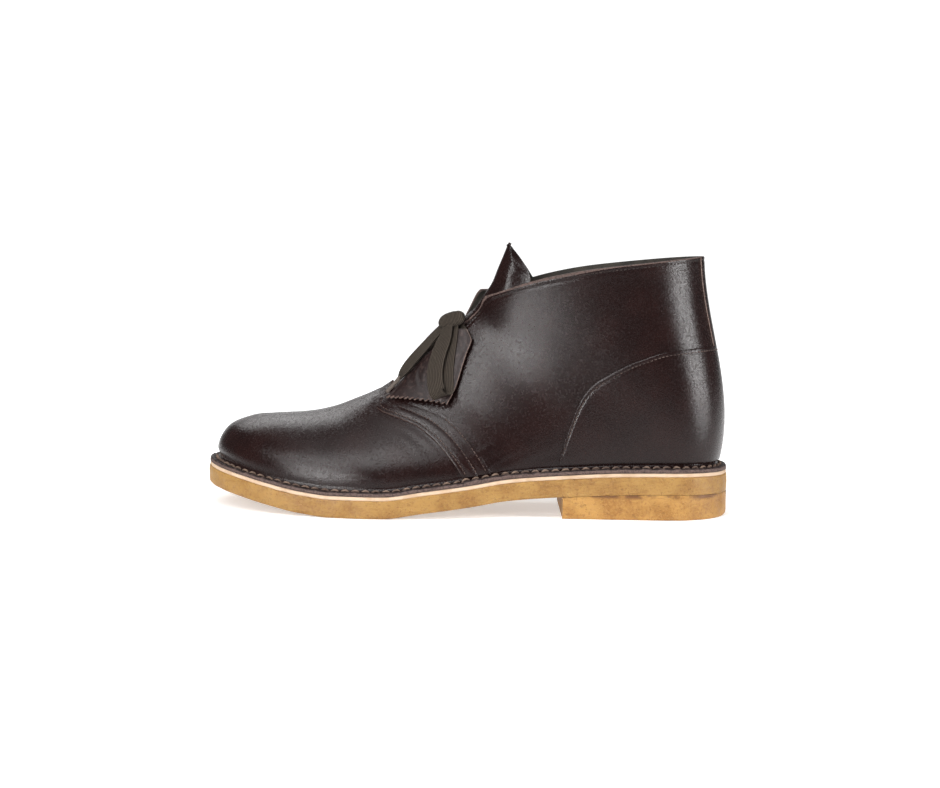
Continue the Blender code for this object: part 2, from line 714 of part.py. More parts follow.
def throat_cutter(collection):
    """Upright prism with the plan of the open throat, from behind the collar's front to the vamp."""
    front = THROAT_FRONT_AT * LENGTH - LENGTH / 2
    collar = wall_point(np.array([float(COLLAR_FRONT_ROW)]), np.array([1.0]))[0, 0]
    back = collar - 2.2 * THROAT_HALF_WIDTH_TOP
    xs = np.linspace(back, front - THROAT_CORNER, 9)
    half = throat_half_width(xs)
    centre = ridge_line(xs)
    outer = [(x, c + h) for x, c, h in zip(xs, centre, half)]
    inner = [(x, c - h) for x, c, h in zip(xs, centre, half)]
    corner_outer = (front, centre[-1] + half[-1] - THROAT_CORNER)
    corner_inner = (front, centre[-1] - half[-1] + THROAT_CORNER)
    low = bed(front) + VAMP_HEIGHT * 0.5
    return prism("throat_cutter", outer + [corner_outer, corner_inner] + inner[::-1], low, 0.2, collection)


def rod(name, start, end, radius, segments, collection):
    """Straight round bar between two points."""
    start = Vector(start)
    end = Vector(end)
    build = bmesh.new()
    turn = (end - start).to_track_quat("Z", "Y").to_matrix().to_4x4()
    place = Matrix.Translation((start + end) / 2) @ turn
    bmesh.ops.create_cone(
        build, cap_ends=True, segments=segments, radius1=radius, radius2=radius,
        depth=(end - start).length, matrix=place,
    )
    mesh = bpy.data.meshes.new(name)
    build.to_mesh(mesh)
    build.free()
    for polygon in mesh.polygons:
        polygon.use_smooth = True
    mesh.set_sharp_from_angle(angle=math.radians(SMOOTH_ANGLE))
    thing = bpy.data.objects.new(name, mesh)
    collection.objects.link(thing)
    return thing


def surface(row, level, lift, side=1):
    """Point and outward normal on the leather's outer face, raised by lift."""
    at = np.array([row if side > 0 else LOOP_ROWS - row], float)
    v = np.array([level], float)
    normal = wall_normal(at, v)[0]
    return wall_point(at, v)[0] + normal * (float(wall_lift(at)[0]) + lift), normal


def eyelet_places():
    """Centre and normal of each punched eyelet: rows up the throat, outer side first."""
    out = []
    for row in EYELET_ROWS:
        for side in (1, -1):
            ridge = wall_point(np.array([row]), np.array([1.0]))[0]
            level = level_at_width(row, throat_half_width(ridge[0]) + EYELET_FROM_EDGE, side)
            out.append(surface(row, level, 0.0, side))
    return out


def punch_eyelets(upper, cutters):
    reach = 3 * (WALL + QUARTER_STEP)
    for k, (point, normal) in enumerate(eyelet_places()):
        cut(upper, rod(f"eyelet_cutter_{k}", point - normal * reach, point + normal * reach,
                       EYELET_RADIUS, 14, cutters))


def grid_solid(name, front, back, collection):
    """Closed solid between two grids of equal size, joined round their borders."""
    rows, columns = front.shape[:2]
    points = np.concatenate([front.reshape(-1, 3), back.reshape(-1, 3)])
    size = rows * columns
    faces = []
    for r in range(rows - 1):
        for c in range(columns - 1):
            a = r * columns + c
            faces.append((a, a + 1, a + columns + 1, a + columns))
            faces.append((size + a, size + a + columns, size + a + columns + 1, size + a + 1))
    border = [c for c in range(columns)]
    border += [r * columns + columns - 1 for r in range(1, rows)]
    border += [(rows - 1) * columns + c for c in range(columns - 2, -1, -1)]
    border += [r * columns for r in range(rows - 2, 0, -1)]
    for k, here in enumerate(border):
        following = border[(k + 1) % len(border)]
        faces.append((here, size + here, size + following, following))
    return new_object(name, points, faces, collection)


def counter_level(place):
    row = np.where(place > HEEL_ROW, LOOP_ROWS - place, place)
    return monotone(COUNTER_TABLE["row"], COUNTER_TABLE["level"], row)


def make_counter(collection):
    """Leather patch round the heel, cut between two offsets of the upper's own face."""
    first = COUNTER_TABLE["row"][0]
    inside = COLUMNS[(COLUMNS > first + 0.05) & (COLUMNS < LOOP_ROWS - first - 0.05)]
    places = np.concatenate([[first], inside, [LOOP_ROWS - first]])
    shares = np.linspace(0.0, 1.0, 7)
    grids = []
    for lift in (CLEARANCE + COUNTER_EASE, COUNTER_THICKNESS):
        rows = []
        for share in shares:
            levels = COUNTER_FOOT_LEVEL + (counter_level(places) - COUNTER_FOOT_LEVEL) * share
            rows.append(offset_wall(places, levels, wall_lift(places) + lift))
        grids.append(np.stack(rows))
    return grid_solid("heel_counter", grids[1], grids[0], collection)


def make_strip(collection):
    """Leather strip down the back seam, from the collar to the counter."""
    step = 1.0 / STEPS_PER_ROW
    near = HEEL_ROW + np.array([-STRIP_ROWS, -step, 0.0, step, STRIP_ROWS])
    foot = counter_level(near).max() + STRIP_GAP_LEVEL
    levels = np.concatenate([[foot], OUTER_LEVELS[OUTER_LEVELS > foot + 0.01]])
    grids = []
    for lift in (CLEARANCE, STRIP_THICKNESS):
        rows = []
        for level in levels:
            raised = wall_lift(near) + lift
            rows.append(offset_wall(near, np.full(len(near), level), raised))
        grids.append(np.stack(rows))
    return grid_solid("back_strip", grids[1], grids[0], collection)


def make_tongue(collection):
    """Tongue under the throat: it follows the upper from below and stands free above the collar."""
    share = np.linspace(-1.0, 1.0, 2 * TONGUE_ACROSS + 1)
    rows = []
    for row, beyond, back, half_width, curl in zip(*(TONGUE_TABLE[name] for name in TONGUE_COLUMNS)):
        points = []
        for part_share in share:
            side = 1 if part_share >= 0 else -1
            level = level_at_width(row, abs(part_share) * half_width, side)
            depth = WALL + CLEARANCE + TONGUE_EASE * (1 + abs(part_share))
            at = row if side > 0 else LOOP_ROWS - row
            point = offset_wall(np.array([at]), np.array([level]), np.array([-depth]))[0]
            point[0] -= back + curl * part_share**2
            point[2] += beyond
            points.append(point)
        rows.append(points)
    outer = np.array(rows)
    along = np.gradient(outer, axis=0)
    across = np.gradient(outer, axis=1)
    inward = np.cross(along, across)
    inward /= np.linalg.norm(inward, axis=-1, keepdims=True)
    return grid_solid("tongue", outer, outer + inward * TONGUE_THICKNESS, collection)


def ease(values, passes=1):
    """Points of a course with its corners rounded, ends kept."""
    for _ in range(passes):
        cut_points = [values[0]]
        for a, b in zip(values[:-1], values[1:]):
            cut_points += [a * 0.75 + b * 0.25, a * 0.25 + b * 0.75]
        cut_points.append(values[-1])
        values = np.array(cut_points)
    return values


def course_points(table, side, drop):
    """Centre points, normals and widths of a ribbon course on the leather."""
    points, normals = [], []
    for row, level, lift in zip(table["row"], table["level"], table["lift"]):
        point, normal = surface(row, level, lift - drop, side)
        points.append(point)
        normals.append(normal)
    return np.array(points), np.array(normals), table["width"][:, None]


RIBBON_SECTION = np.array([
    (-0.5, 0.0), (-0.42, 0.36), (-0.2, 0.5), (0.2, 0.5), (0.42, 0.36),
    (0.5, 0.0), (0.42, -0.36), (0.2, -0.5), (-0.2, -0.5), (-0.42, -0.36),
])


def tube(name, points, normals, widths, thickness, collection):
    """Solid with a flattened section swept along points, flat side facing along the normals."""
    tangents = np.gradient(points, axis=0)
    tangents /= np.linalg.norm(tangents, axis=1, keepdims=True)
    across = np.cross(tangents, normals)
    across /= np.linalg.norm(across, axis=1, keepdims=True)
    upward = np.cross(across, tangents)
    rings = points[:, None, :] + across[:, None, :] * (RIBBON_SECTION[None, :, :1] * widths[:, None, :])
    rings = rings + upward[:, None, :] * (RIBBON_SECTION[None, :, 1:] * thickness)
    count = len(RIBBON_SECTION)
    flat = rings.reshape(-1, 3)
    last = (len(points) - 1) * count
    faces = [tuple(range(count)), tuple(last + k for k in range(count))]
    for r in range(len(points) - 1):
        for k in range(count):
            following = (k + 1) % count
            faces.append((
                r * count + k, r * count + following,
                (r + 1) * count + following, (r + 1) * count + k,
            ))
    return new_object(name, flat, faces, collection)


def ribbon(name, table, side, drop, collection):
    points, normals, widths = course_points(table, side, drop)
    return tube(name, ease(points), ease(normals), ease(widths), LACE_THICKNESS, collection)


def make_fob(collection):
    """Leather tag that lies on the throat under the knot, with a toothed lower edge."""
    count = 2 * FOB_TEETH + 1
    front = np.empty((len(FOB), count, 3))
    normals = np.empty((len(FOB), count, 3))
    for k, share in enumerate(np.linspace(0.0, 1.0, count)):

        def between(name):
            return FOB_TABLE["left_" + name] * (1 - share) + FOB_TABLE["right_" + name] * share

        arch = FOB_ARCH * 4 * share * (1 - share)
        row, level = between("row"), between("level")
        normals[:, k] = wall_normal(row, level)
        front[:, k] = offset_wall(row, level, wall_lift(row) + between("lift") + arch)
    down = front[-1] - front[-2]
    down /= np.linalg.norm(down, axis=1, keepdims=True)
    front[-1, 1::2] += down[1::2] * FOB_TOOTH_DEPTH
    return grid_solid("fob", front + normals * FOB_THICKNESS, front, collection)


def make_knot(collection):
    """Rounded bundle of lace above the throat."""
    places = zip(*(KNOT_TABLE[name] for name in KNOT_COLUMNS))
    (start, first_normal), (end, last_normal) = (surface(*place) for place in places)
    normal = first_normal + last_normal
    normal /= np.linalg.norm(normal)
    along = (end - start) / np.linalg.norm(end - start)
    across = np.cross(along, normal)
    across /= np.linalg.norm(across)
    upward = np.cross(across, along)
    shares = np.array((-1.0, -0.86, -0.5, 0.0, 0.5, 0.86, 1.0))
    swell = np.sqrt(1.0 - 0.72 * np.abs(shares) ** 3)
    angles = np.linspace(0.0, 2 * math.pi, 12, endpoint=False)
    middle = (start + end) / 2
    half = np.linalg.norm(end - start) / 2
    points = []
    for share, size in zip(shares, swell):
        centre = middle + along * share * half
        for angle in angles:
            sideways = across * math.cos(angle) * size * KNOT_WIDTH / 2
            points.append(centre + sideways + upward * math.sin(angle) * size * KNOT_THICKNESS / 2)
    count = len(angles)
    last = (len(shares) - 1) * count
    faces = [tuple(range(count)), tuple(last + k for k in range(count))]
    for r in range(len(shares) - 1):
        for k in range(count):
            following = (k + 1) % count
            faces.append((
                r * count + k, r * count + following,
                (r + 1) * count + following, (r + 1) * count + k,
            ))
    return new_object("lace_knot", points, faces, collection)


def make_bar(name, row, collection):
    """Lace across the throat, from the outer eyelet of a row over the ridge to the inner one."""
    ridge = wall_point(np.array([row]), np.array([1.0]))[0]
    reach = throat_half_width(ridge[0]) + EYELET_FROM_EDGE
    points, normals = [], []
    for share in np.linspace(1.0, -1.0, 15):
        side = 1 if share >= 0 else -1
        level = level_at_width(row, abs(share) * reach, side)
        point, normal = surface(row, level, BAR_LIFT, side)
        points.append(point)
        normals.append(normal)
    points = np.array(points)
    normals = np.array(normals)
    normals[6:9] = normals[6:9].mean(axis=0)
    return tube(name, points, normals, np.full((len(points), 1), BAR_WIDTH), BAR_THICKNESS, collection)


def paint(thing):
    red, green, blue, roughness = LOOKS.get(thing.name, LACE)
    material = bpy.data.materials.new(thing.name)
    material.use_nodes = True
    material.diffuse_color = (red, green, blue, 1.0)
    shader = material.node_tree.nodes["Principled BSDF"]
    shader.inputs["Base Color"].default_value = (red, green, blue, 1.0)
    shader.inputs["Roughness"].default_value = roughness
    thing.data.materials.append(material)


def main():
    for thing in list(bpy.data.objects):
        bpy.data.objects.remove(thing, do_unlink=True)
    part = bpy.data.collections.new(PART)
    cutters = bpy.data.collections.new(PART + "_cutters")
    cutters.hide_render = True
    for group in (part, cutters):
        bpy.context.scene.collection.children.link(group)
    make_outsole(part)
    make_midsole(part)
    make_insole(part)
    make_heel(part)
    upper = make_upper(part)
    cut(upper, throat_cutter(cutters))
    punch_eyelets(upper, cutters)
    make_counter(part)
    make_strip(part)
    make_tongue(part)
    make_fob(part)
    make_knot(part)
    for name, row in zip(("lace_bar_low", "lace_bar_high"), EYELET_ROWS):
        make_bar(name, row, part)
    for name, side, far in (("near", 1, 0.0), ("far", -1, 1.0)):
        ribbon("lace_" + name + "_loop", LOOP_TABLE, side, far * FAR_LOOP_DROP, part)
        ribbon("lace_" + name + "_end", END_TABLE, side, far * FAR_END_DROP, part)
        drop = far * FAR_TIP_DROP
        places = zip(*(TIP_TABLE[name] for name in TIP_COLUMNS))
        (start, _), (end, _) = (surface(row, level, lift - drop, side) for row, level, lift in places)
        rod("lace_" + name + "_tip", start, end, TIP_RADIUS, 10, part)
    for thing in part.objects:
        paint(thing)


main()
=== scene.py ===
"""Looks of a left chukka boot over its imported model: leather, laces, crepe sole, light and camera.

Metres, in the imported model's own frame: toe to +X, outer side of the foot to +Y, floor at z = 0.
A place on the upper is (row, level): row 0 is the toe and row 17 the heel, on the outer side, and
34 - row is the same place on the inner side; level 0 is the root at the sole and level 1 the ridge
or the collar.
"""

import math

import bmesh
import bpy
import numpy as np
from mathutils import Matrix, Vector


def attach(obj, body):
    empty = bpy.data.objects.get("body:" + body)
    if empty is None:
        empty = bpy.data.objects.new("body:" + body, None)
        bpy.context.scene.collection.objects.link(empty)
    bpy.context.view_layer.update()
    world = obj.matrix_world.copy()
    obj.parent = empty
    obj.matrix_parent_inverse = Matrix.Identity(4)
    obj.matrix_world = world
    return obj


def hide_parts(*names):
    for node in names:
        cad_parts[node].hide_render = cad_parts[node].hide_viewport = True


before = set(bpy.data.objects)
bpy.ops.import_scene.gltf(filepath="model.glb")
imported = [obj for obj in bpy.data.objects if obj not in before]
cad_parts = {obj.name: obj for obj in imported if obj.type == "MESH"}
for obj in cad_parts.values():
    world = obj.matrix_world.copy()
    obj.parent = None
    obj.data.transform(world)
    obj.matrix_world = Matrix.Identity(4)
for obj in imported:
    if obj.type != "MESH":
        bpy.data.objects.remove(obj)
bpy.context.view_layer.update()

BODY = "root"
MM = 0.001

# Main sizes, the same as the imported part's
LENGTH = 0.300
BALL_WIDTH = 0.106
HEEL_HEIGHT = 0.0145
TOE_SPRING = 0.0116
VAMP_HEIGHT = 0.0554
SHAFT_HEIGHT = 0.1211
OUTSOLE_THICKNESS = 0.0102
MIDSOLE_THICKNESS = 0.0020
WALL = 0.0020
QUARTER_STEP = 0.0012
COUNTER_THICKNESS = 0.0013
STRIP_THICKNESS = 0.0012
TONGUE_THICKNESS = 0.0018
CLEARANCE = 0.0003
FLANGE_WIDTH = 0.0060
FLANGE_ROOT_RADIUS = 0.0022
HEEL_BREAST_AT = 0.32
THROAT_FRONT_AT = 0.673
THROAT_HALF_WIDTH_LOW = 0.0130
THROAT_HALF_WIDTH_TOP = 0.0095
EYELET_FROM_EDGE = 0.0075
EYELET_ROWS = (9.55, 10.50)
FOB_THICKNESS = 0.0014
MIDSOLE_INSET = 0.0006


def by_column(columns, *rows):
    """Table as one array for each of its named columns."""
    return {name: np.array([row[k] for row in rows]) for k, name in enumerate(columns.split())}


# Height of the bed, where the upper and the insole sit, above the flat forefoot.
# along is a share of LENGTH from the heel; heel and toe are shares of HEEL_HEIGHT and TOE_SPRING.
BED = by_column(
    "along heel toe",
    (0.00, 0.97, 0.00),
    (0.10, 1.00, 0.00),
    (0.20, 0.97, 0.00),
    (0.33, 0.82, 0.00),
    (0.42, 0.68, 0.00),
    (0.50, 0.42, 0.00),
    (0.58, 0.21, 0.00),
    (0.66, 0.00, 0.00),
    (0.75, 0.00, 0.00),
    (0.81, 0.00, 0.13),
    (0.87, 0.00, 0.39),
    (0.94, 0.00, 0.73),
    (1.00, 0.00, 1.00),
)

# Sections of the last, from the toe to the heel. Each one is a curve from the sole's edge to the top.
# along and top_along are shares of LENGTH, outer to top_inner shares of BALL_WIDTH across.
# height is 0 to 1 over VAMP_HEIGHT and 1 to 2 over the rest of SHAFT_HEIGHT.
# wall, lean, spread, slide and drop are shares of the section's own rise and reach;
# flare and tuck are shares of BALL_WIDTH.
SECTIONS = by_column(
    "along outer inner top_along top_outer top_inner height wall flare lean spread slide drop tuck",
    (1.000, -0.085, -0.085, 0.882, -0.066, -0.066, 0.612, 0.56, 0.008, 0.00, 0.58, 0.56, 0.00, 0.000),
    (0.990, 0.066, -0.226, 0.880, -0.066, -0.066, 0.614, 0.55, 0.010, 0.00, 0.60, 0.60, 0.00, 0.000),
    (0.957, 0.212, -0.344, 0.873, -0.066, -0.066, 0.625, 0.53, 0.012, 0.00, 0.58, 0.58, 0.00, 0.000),
    (0.907, 0.325, -0.425, 0.855, -0.064, -0.064, 0.650, 0.52, 0.014, 0.00, 0.54, 0.45, 0.00, 0.000),
    (0.847, 0.410, -0.472, 0.828, -0.061, -0.061, 0.686, 0.50, 0.018, 0.00, 0.48, 0.25, 0.00, 0.000),
    (0.773, 0.472, -0.495, 0.797, -0.057, -0.057, 0.728, 0.49, 0.022, 0.05, 0.44, 0.08, 0.00, 0.000),
    (0.693, 0.500, -0.481, 0.758, -0.052, -0.052, 0.798, 0.47, 0.025, 0.10, 0.41, 0.00, 0.00, 0.000),
    (0.607, 0.486, -0.425, 0.717, -0.047, -0.047, 0.888, 0.45, 0.025, 0.12, 0.40, 0.00, 0.00, 0.000),
    (0.513, 0.437, -0.349, 0.675, -0.042, -0.042, 0.990, 0.43, 0.020, 0.14, 0.43, 0.00, 0.00, 0.000),
    (0.440, 0.390, -0.311, 0.620, -0.033, -0.033, 1.150, 0.40, 0.022, 0.12, 0.46, 0.00, 0.00, 0.000),
    (0.387, 0.366, -0.302, 0.563, -0.024, -0.024, 1.387, 0.40, 0.028, 0.10, 0.56, 0.00, 0.00, 0.000),
    (0.333, 0.352, -0.308, 0.503, -0.014, -0.014, 1.690, 0.38, 0.035, 0.08, 0.62, 0.00, 0.00, 0.000),
    (0.273, 0.346, -0.324, 0.457, 0.142, -0.142, 1.737, 0.36, 0.042, 0.06, 0.50, 0.00, 0.16, 0.000),
    (0.213, 0.345, -0.338, 0.373, 0.245, -0.245, 1.834, 0.35, 0.050, 0.05, 0.20, 0.00, 0.28, 0.030),
    (0.147, 0.342, -0.342, 0.280, 0.297, -0.297, 1.898, 0.34, 0.060, 0.03, 0.00, 0.00, 0.34, 0.030),
    (0.083, 0.320, -0.320, 0.180, 0.278, -0.278, 1.939, 0.335, 0.075, 0.00, 0.00, 0.05, 0.34, 0.020),
    (0.023, 0.201, -0.201, 0.093, 0.165, -0.165, 1.982, 0.333, 0.090, 0.00, 0.00, 0.10, 0.335, 0.000),
    (0.000, 0.000, 0.000, 0.058, 0.000, 0.000, 2.000, 0.333, 0.094, 0.00, 0.00, 0.10, 0.335, 0.000),
)
# Line where the quarters' front edge crosses each level of the wall, by section row
SEAM = by_column(
    "level row",
    (0.00, 8.10),
    (0.18, 8.05),
    (0.31, 8.05),
    (0.38, 8.02),
    (0.46, 7.96),
    (0.53, 7.80),
    (0.69, 7.45),
    (0.77, 7.70),
    (0.85, 7.95),
    (1.00, 8.22),
)
# Upper edge of the heel counter: the level it reaches at each section row
COUNTER = by_column(
    "row level",
    (11.14, 0.030),
    (11.35, 0.101),
    (12.17, 0.271),
    (12.96, 0.391),
    (13.63, 0.462),
    (14.44, 0.528),
    (15.16, 0.563),
    (15.94, 0.568),
    (17.00, 0.562),
)
COUNTER_FOOT_LEVEL = 0.012
COUNTER_LIFT = COUNTER_THICKNESS * 0.85
STRIP_ROWS = 0.42
# Tongue, from the end under the vamp to the tip. row is the section row that its face follows from
# below. Past the front of the collar, beyond is how far it stands up and back how far it leans.
TONGUE = by_column(
    "row beyond back half_width curl",
    (6.70, 0.0, 0.0, 0.0160, 0.0),
    (7.33, 0.0, 0.0, 0.0180, 0.0),
    (8.00, 0.0, 0.0, 0.0190, 0.0),
    (8.67, 0.0, 0.0, 0.0190, 0.0),
    (9.33, 0.0, 0.0, 0.0190, 0.0),
    (10.00, 0.0, 0.0, 0.0190, 0.0),
    (10.67, 0.0, 0.0, 0.0190, 0.0),
    (10.67, 0.0050, 0.0062, 0.0176, 0.0052),
    (10.67, 0.0110, 0.0114, 0.0180, 0.0056),
    (10.67, 0.0190, 0.0166, 0.0190, 0.0040),
    (10.67, 0.0265, 0.0194, 0.0182, 0.0045),
    (10.67, 0.0335, 0.0222, 0.0150, 0.0060),
    (10.67, 0.0390, 0.0243, 0.0095, 0.0045),
    (10.67, 0.0422, 0.0256, 0.0036, 0.0015),
)
# Tag under the knot: its left and right borders on the leather, from its top to its lower edge
FOB = by_column(
    "left_row left_level left_lift right_row right_level right_lift",
    (10.37, 0.819, 0.0023, 10.60, 0.750, 0.0022),
    (9.93, 0.830, 0.0024, 10.54, 0.691, 0.0023),
    (9.46, 0.835, 0.0025, 10.24, 0.650, 0.0025),
    (8.80, 0.800, 0.0025, 9.91, 0.604, 0.0027),
    (8.36, 0.758, 0.0024, 9.53, 0.553, 0.0029),
    (8.00, 0.731, 0.0016, 9.07, 0.503, 0.0032),
)

HEEL_ROW = len(SECTIONS["along"]) - 1
SEAM_ROW = 8
COLLAR_FRONT_ROW = 11
LOOP_ROWS = 2 * HEEL_ROW
STEPS_PER_ROW = 3
FINE_STEPS = 24
SMOOTHING_PASSES = 60
SHAPE_SMOOTHING_PASSES = 300
SHAPE_COLUMNS = ("wall", "flare", "lean", "spread", "slide", "drop", "tuck")
SEAM_SPREAD_ROWS = 2.6
# Share of the quarters' step that is gone at the collar's front
QUARTER_STEP_LOSS = 0.75
SOLE_EDGE_ROUND = 0.0012


# Small tools


def unit(vectors):
    """Vectors brought to length 1."""
    return vectors / np.linalg.norm(vectors, axis=-1, keepdims=True)


def bump(x, middle, width):
    """Smooth bell of height 1 at middle."""
    return np.exp(-(((x - middle) / width) ** 2))


def ramp(x, low, high):
    """Smooth step from 0 at low to 1 at high."""
    t = np.clip((x - low) / (high - low), 0.0, 1.0)
    return t * t * (3 - 2 * t)


def softened(values, passes=1):
    """Rows averaged with their neighbours, in place, the first and the last kept."""
    for _ in range(passes):
        values[1:-1] = (values[:-2] + 2 * values[1:-1] + values[2:]) / 4
    return values


def lengths_along(points):
    """Length of a polyline up to each of its points."""
    return np.concatenate([[0.0], np.cumsum(np.linalg.norm(np.diff(points, axis=0), axis=1))])


def read_at(wanted, places, values):
    """Each column of the values, known at places, read at the wanted places."""
    return np.stack([np.interp(wanted, places, column) for column in np.transpose(values)], axis=1)


# Surface of the last


def slopes_of(xs, ys):
    """End slopes and inner slopes of a monotone cubic through the points."""
    h = np.diff(xs)
    d = np.diff(ys) / h
    m = np.zeros(len(xs))
    for k in range(1, len(xs) - 1):
        if d[k - 1] * d[k] > 0:
            w1 = 2 * h[k] + h[k - 1]
            w2 = h[k] + 2 * h[k - 1]
            m[k] = (w1 + w2) / (w1 / d[k - 1] + w2 / d[k])
    m[0] = d[0]
    m[-1] = d[-1]
    return m


def hermite(t, start, start_slope, end, end_slope):
    """Cubic from start to end with those slopes, for t from 0 to 1."""
    return (
        start * (1 + 2 * t) * (1 - t) ** 2
        + start_slope * t * (1 - t) ** 2
        + end * t * t * (3 - 2 * t)
        + end_slope * t * t * (t - 1)
    )


def monotone(xs, ys, at):
    """Monotone cubic through (xs, ys), read at the given places."""
    at = np.clip(at, xs[0], xs[-1])
    m = slopes_of(xs, ys)
    k = np.clip(np.searchsorted(xs, at, side="right") - 1, 0, len(xs) - 2)
    h = xs[k + 1] - xs[k]
    t = (at - xs[k]) / h
    return hermite(t, ys[k], m[k] * h, ys[k + 1], m[k + 1] * h)


def spline_slopes(points):
    """Slopes of the smooth closed curve through the points."""
    points = np.asarray(points, float)
    n = len(points)
    matrix = 4 * np.eye(n) + np.roll(np.eye(n), 1, axis=1) + np.roll(np.eye(n), -1, axis=1)
    return np.linalg.solve(matrix, 3 * (np.roll(points, -1, axis=0) - np.roll(points, 1, axis=0)))


def closed_spline(points, slopes, at):
    """Smooth closed curve through the points, one point per unit of at."""
    n = len(points)
    at = np.mod(at, n)
    k = np.floor(at).astype(int) % n
    t = (at - np.floor(at))[..., None]
    following = (k + 1) % n
    return hermite(t, points[k], slopes[k], points[following], slopes[following])


def smoothed(values, passes):
    """Values round the loop averaged with their neighbours."""
    for _ in range(passes):
        values = (np.roll(values, 1, axis=0) + 2 * values + np.roll(values, -1, axis=0)) / 4
    return values


def from_middle(along):
    """Place along x of a share of LENGTH from the heel."""
    return along * LENGTH - LENGTH / 2


def sole_lift(x):
    """Height of the outsole's underside above the floor at x."""
    along = np.asarray(x, float) / LENGTH + 0.5
    heel = monotone(BED["along"], BED["heel"], along)
    toe = monotone(BED["along"], BED["toe"], along)
    return HEEL_HEIGHT * heel + TOE_SPRING * toe


def bed(x):
    """Height of the midsole's top at x."""
    return sole_lift(x) + OUTSOLE_THICKNESS + CLEARANCE + MIDSOLE_THICKNESS


def looped(outer, inner):
    """Values of the outer rows from toe to heel, then of the inner rows back to the toe."""
    return np.concatenate([outer, inner[-2:0:-1]])


def outline_points():
    """Plan of the sole's edge at each section row, round the loop, with its width about y = 0."""
    along = SECTIONS["along"]
    x = from_middle(looped(along, along))
    y = looped(SECTIONS["outer"], SECTIONS["inner"]) * BALL_WIDTH
    points = np.stack([x, y], axis=1)
    steps = np.arange(LOOP_ROWS * STEPS_PER_ROW) / STEPS_PER_ROW
    widest = closed_spline(points, spline_slopes(points), steps)[:, 1]
    points[:, 1] -= (widest.max() + widest.min()) / 2
    return points


OUTLINE = outline_points()
OUTLINE_SLOPES = spline_slopes(OUTLINE)
CENTRE_SHIFT = OUTLINE[0, 1] - SECTIONS["outer"][0] * BALL_WIDTH


def outline(at, inset=0.0):
    """Plan of the sole's edge at loop places, moved inwards by inset, and its outward directions."""
    at = np.asarray(at, float)
    small = 1e-3
    ahead = closed_spline(OUTLINE, OUTLINE_SLOPES, at + small)
    tangent = unit(ahead - closed_spline(OUTLINE, OUTLINE_SLOPES, at - small))
    outward = np.stack([tangent[..., 1], -tangent[..., 0]], axis=-1)
    return closed_spline(OUTLINE, OUTLINE_SLOPES, at) - outward * np.asarray(inset)[..., None], outward


def plan_of(at, inset=0.0):
    """Plan of the sole's edge at loop places, moved inwards by inset."""
    return outline(at, inset)[0]


def section_values():
    """Each section quantity at FINE_STEPS places per row, all round the loop."""
    rows = SECTIONS
    top_x = from_middle(rows["top_along"])
    low = np.minimum(rows["height"], 1.0) * VAMP_HEIGHT
    high = np.maximum(rows["height"] - 1.0, 0.0) * (SHAFT_HEIGHT - VAMP_HEIGHT)
    top_z = bed(top_x) + low + high
    ridge = slice(COLLAR_FRONT_ROW, None, -1)
    slope = np.zeros(len(top_x))
    slope[: COLLAR_FRONT_ROW + 1] = slopes_of(top_x[ridge], top_z[ridge])[::-1]
    slope[0] = slope[1]
    keys = {"top_x": looped(top_x, top_x), "top_z": looped(top_z, top_z), "slope": looped(slope, slope)}
    keys["top_y"] = looped(rows["top_outer"], rows["top_inner"]) * BALL_WIDTH + CENTRE_SHIFT
    for name in SHAPE_COLUMNS:
        keys[name] = looped(rows[name], rows[name])
    margin = 4
    at_keys = np.arange(-margin, LOOP_ROWS + margin + 1)
    places = np.arange(LOOP_ROWS * FINE_STEPS) / FINE_STEPS
    out = {}
    for name, values in keys.items():
        passes = SHAPE_SMOOTHING_PASSES if name in SHAPE_COLUMNS else SMOOTHING_PASSES
        out[name] = smoothed(monotone(at_keys, values[at_keys % LOOP_ROWS], places), passes)
    return out


FINE = section_values()


def fine(name, at):
    """Section quantity at loop places."""
    table = FINE[name]
    place = np.mod(np.asarray(at, float), LOOP_ROWS) * FINE_STEPS
    k = np.floor(place).astype(int)
    t = place - k
    n = len(table)
    return table[k % n] * (1 - t) + table[(k + 1) % n] * t


def wall_point(at, v):
    """Outer face of the upper's wall: at is the place round the loop, v runs from the root to the top."""
    at, v = np.broadcast_arrays(np.asarray(at, float), np.asarray(v, float))
    edge, outward = outline(at, FLANGE_WIDTH)
    root = bed(edge[..., 0]) + CLEARANCE + WALL + FLANGE_ROOT_RADIUS
    start = np.concatenate([edge, root[..., None]], axis=-1)
    top = np.stack([fine("top_x", at), fine("top_y", at), fine("top_z", at)], axis=-1)
    out3 = np.concatenate([outward, np.zeros_like(outward[..., :1])], axis=-1)
    up = np.array([0.0, 0.0, 1.0])
    rise = (top[..., 2] - start[..., 2])[..., None]
    reach = top - start
    first = start + out3 * fine("flare", at)[..., None] * BALL_WIDTH + up * rise * fine("wall", at)[..., None]
    first[..., 0] += fine("lean", at) * reach[..., 0]
    second = top - up * rise * fine("drop", at)[..., None]
    second -= out3 * fine("tuck", at)[..., None] * BALL_WIDTH
    second[..., 1] -= fine("spread", at) * reach[..., 1]
    slide = -fine("slide", at) * reach[..., 0]
    second[..., 0] += slide
    second[..., 2] += slide * fine("slope", at)
    t = v[..., None]
    return (
        start * (1 - t) ** 3
        + 3 * first * t * (1 - t) ** 2
        + 3 * second * t * t * (1 - t)
        + top * t**3
    )


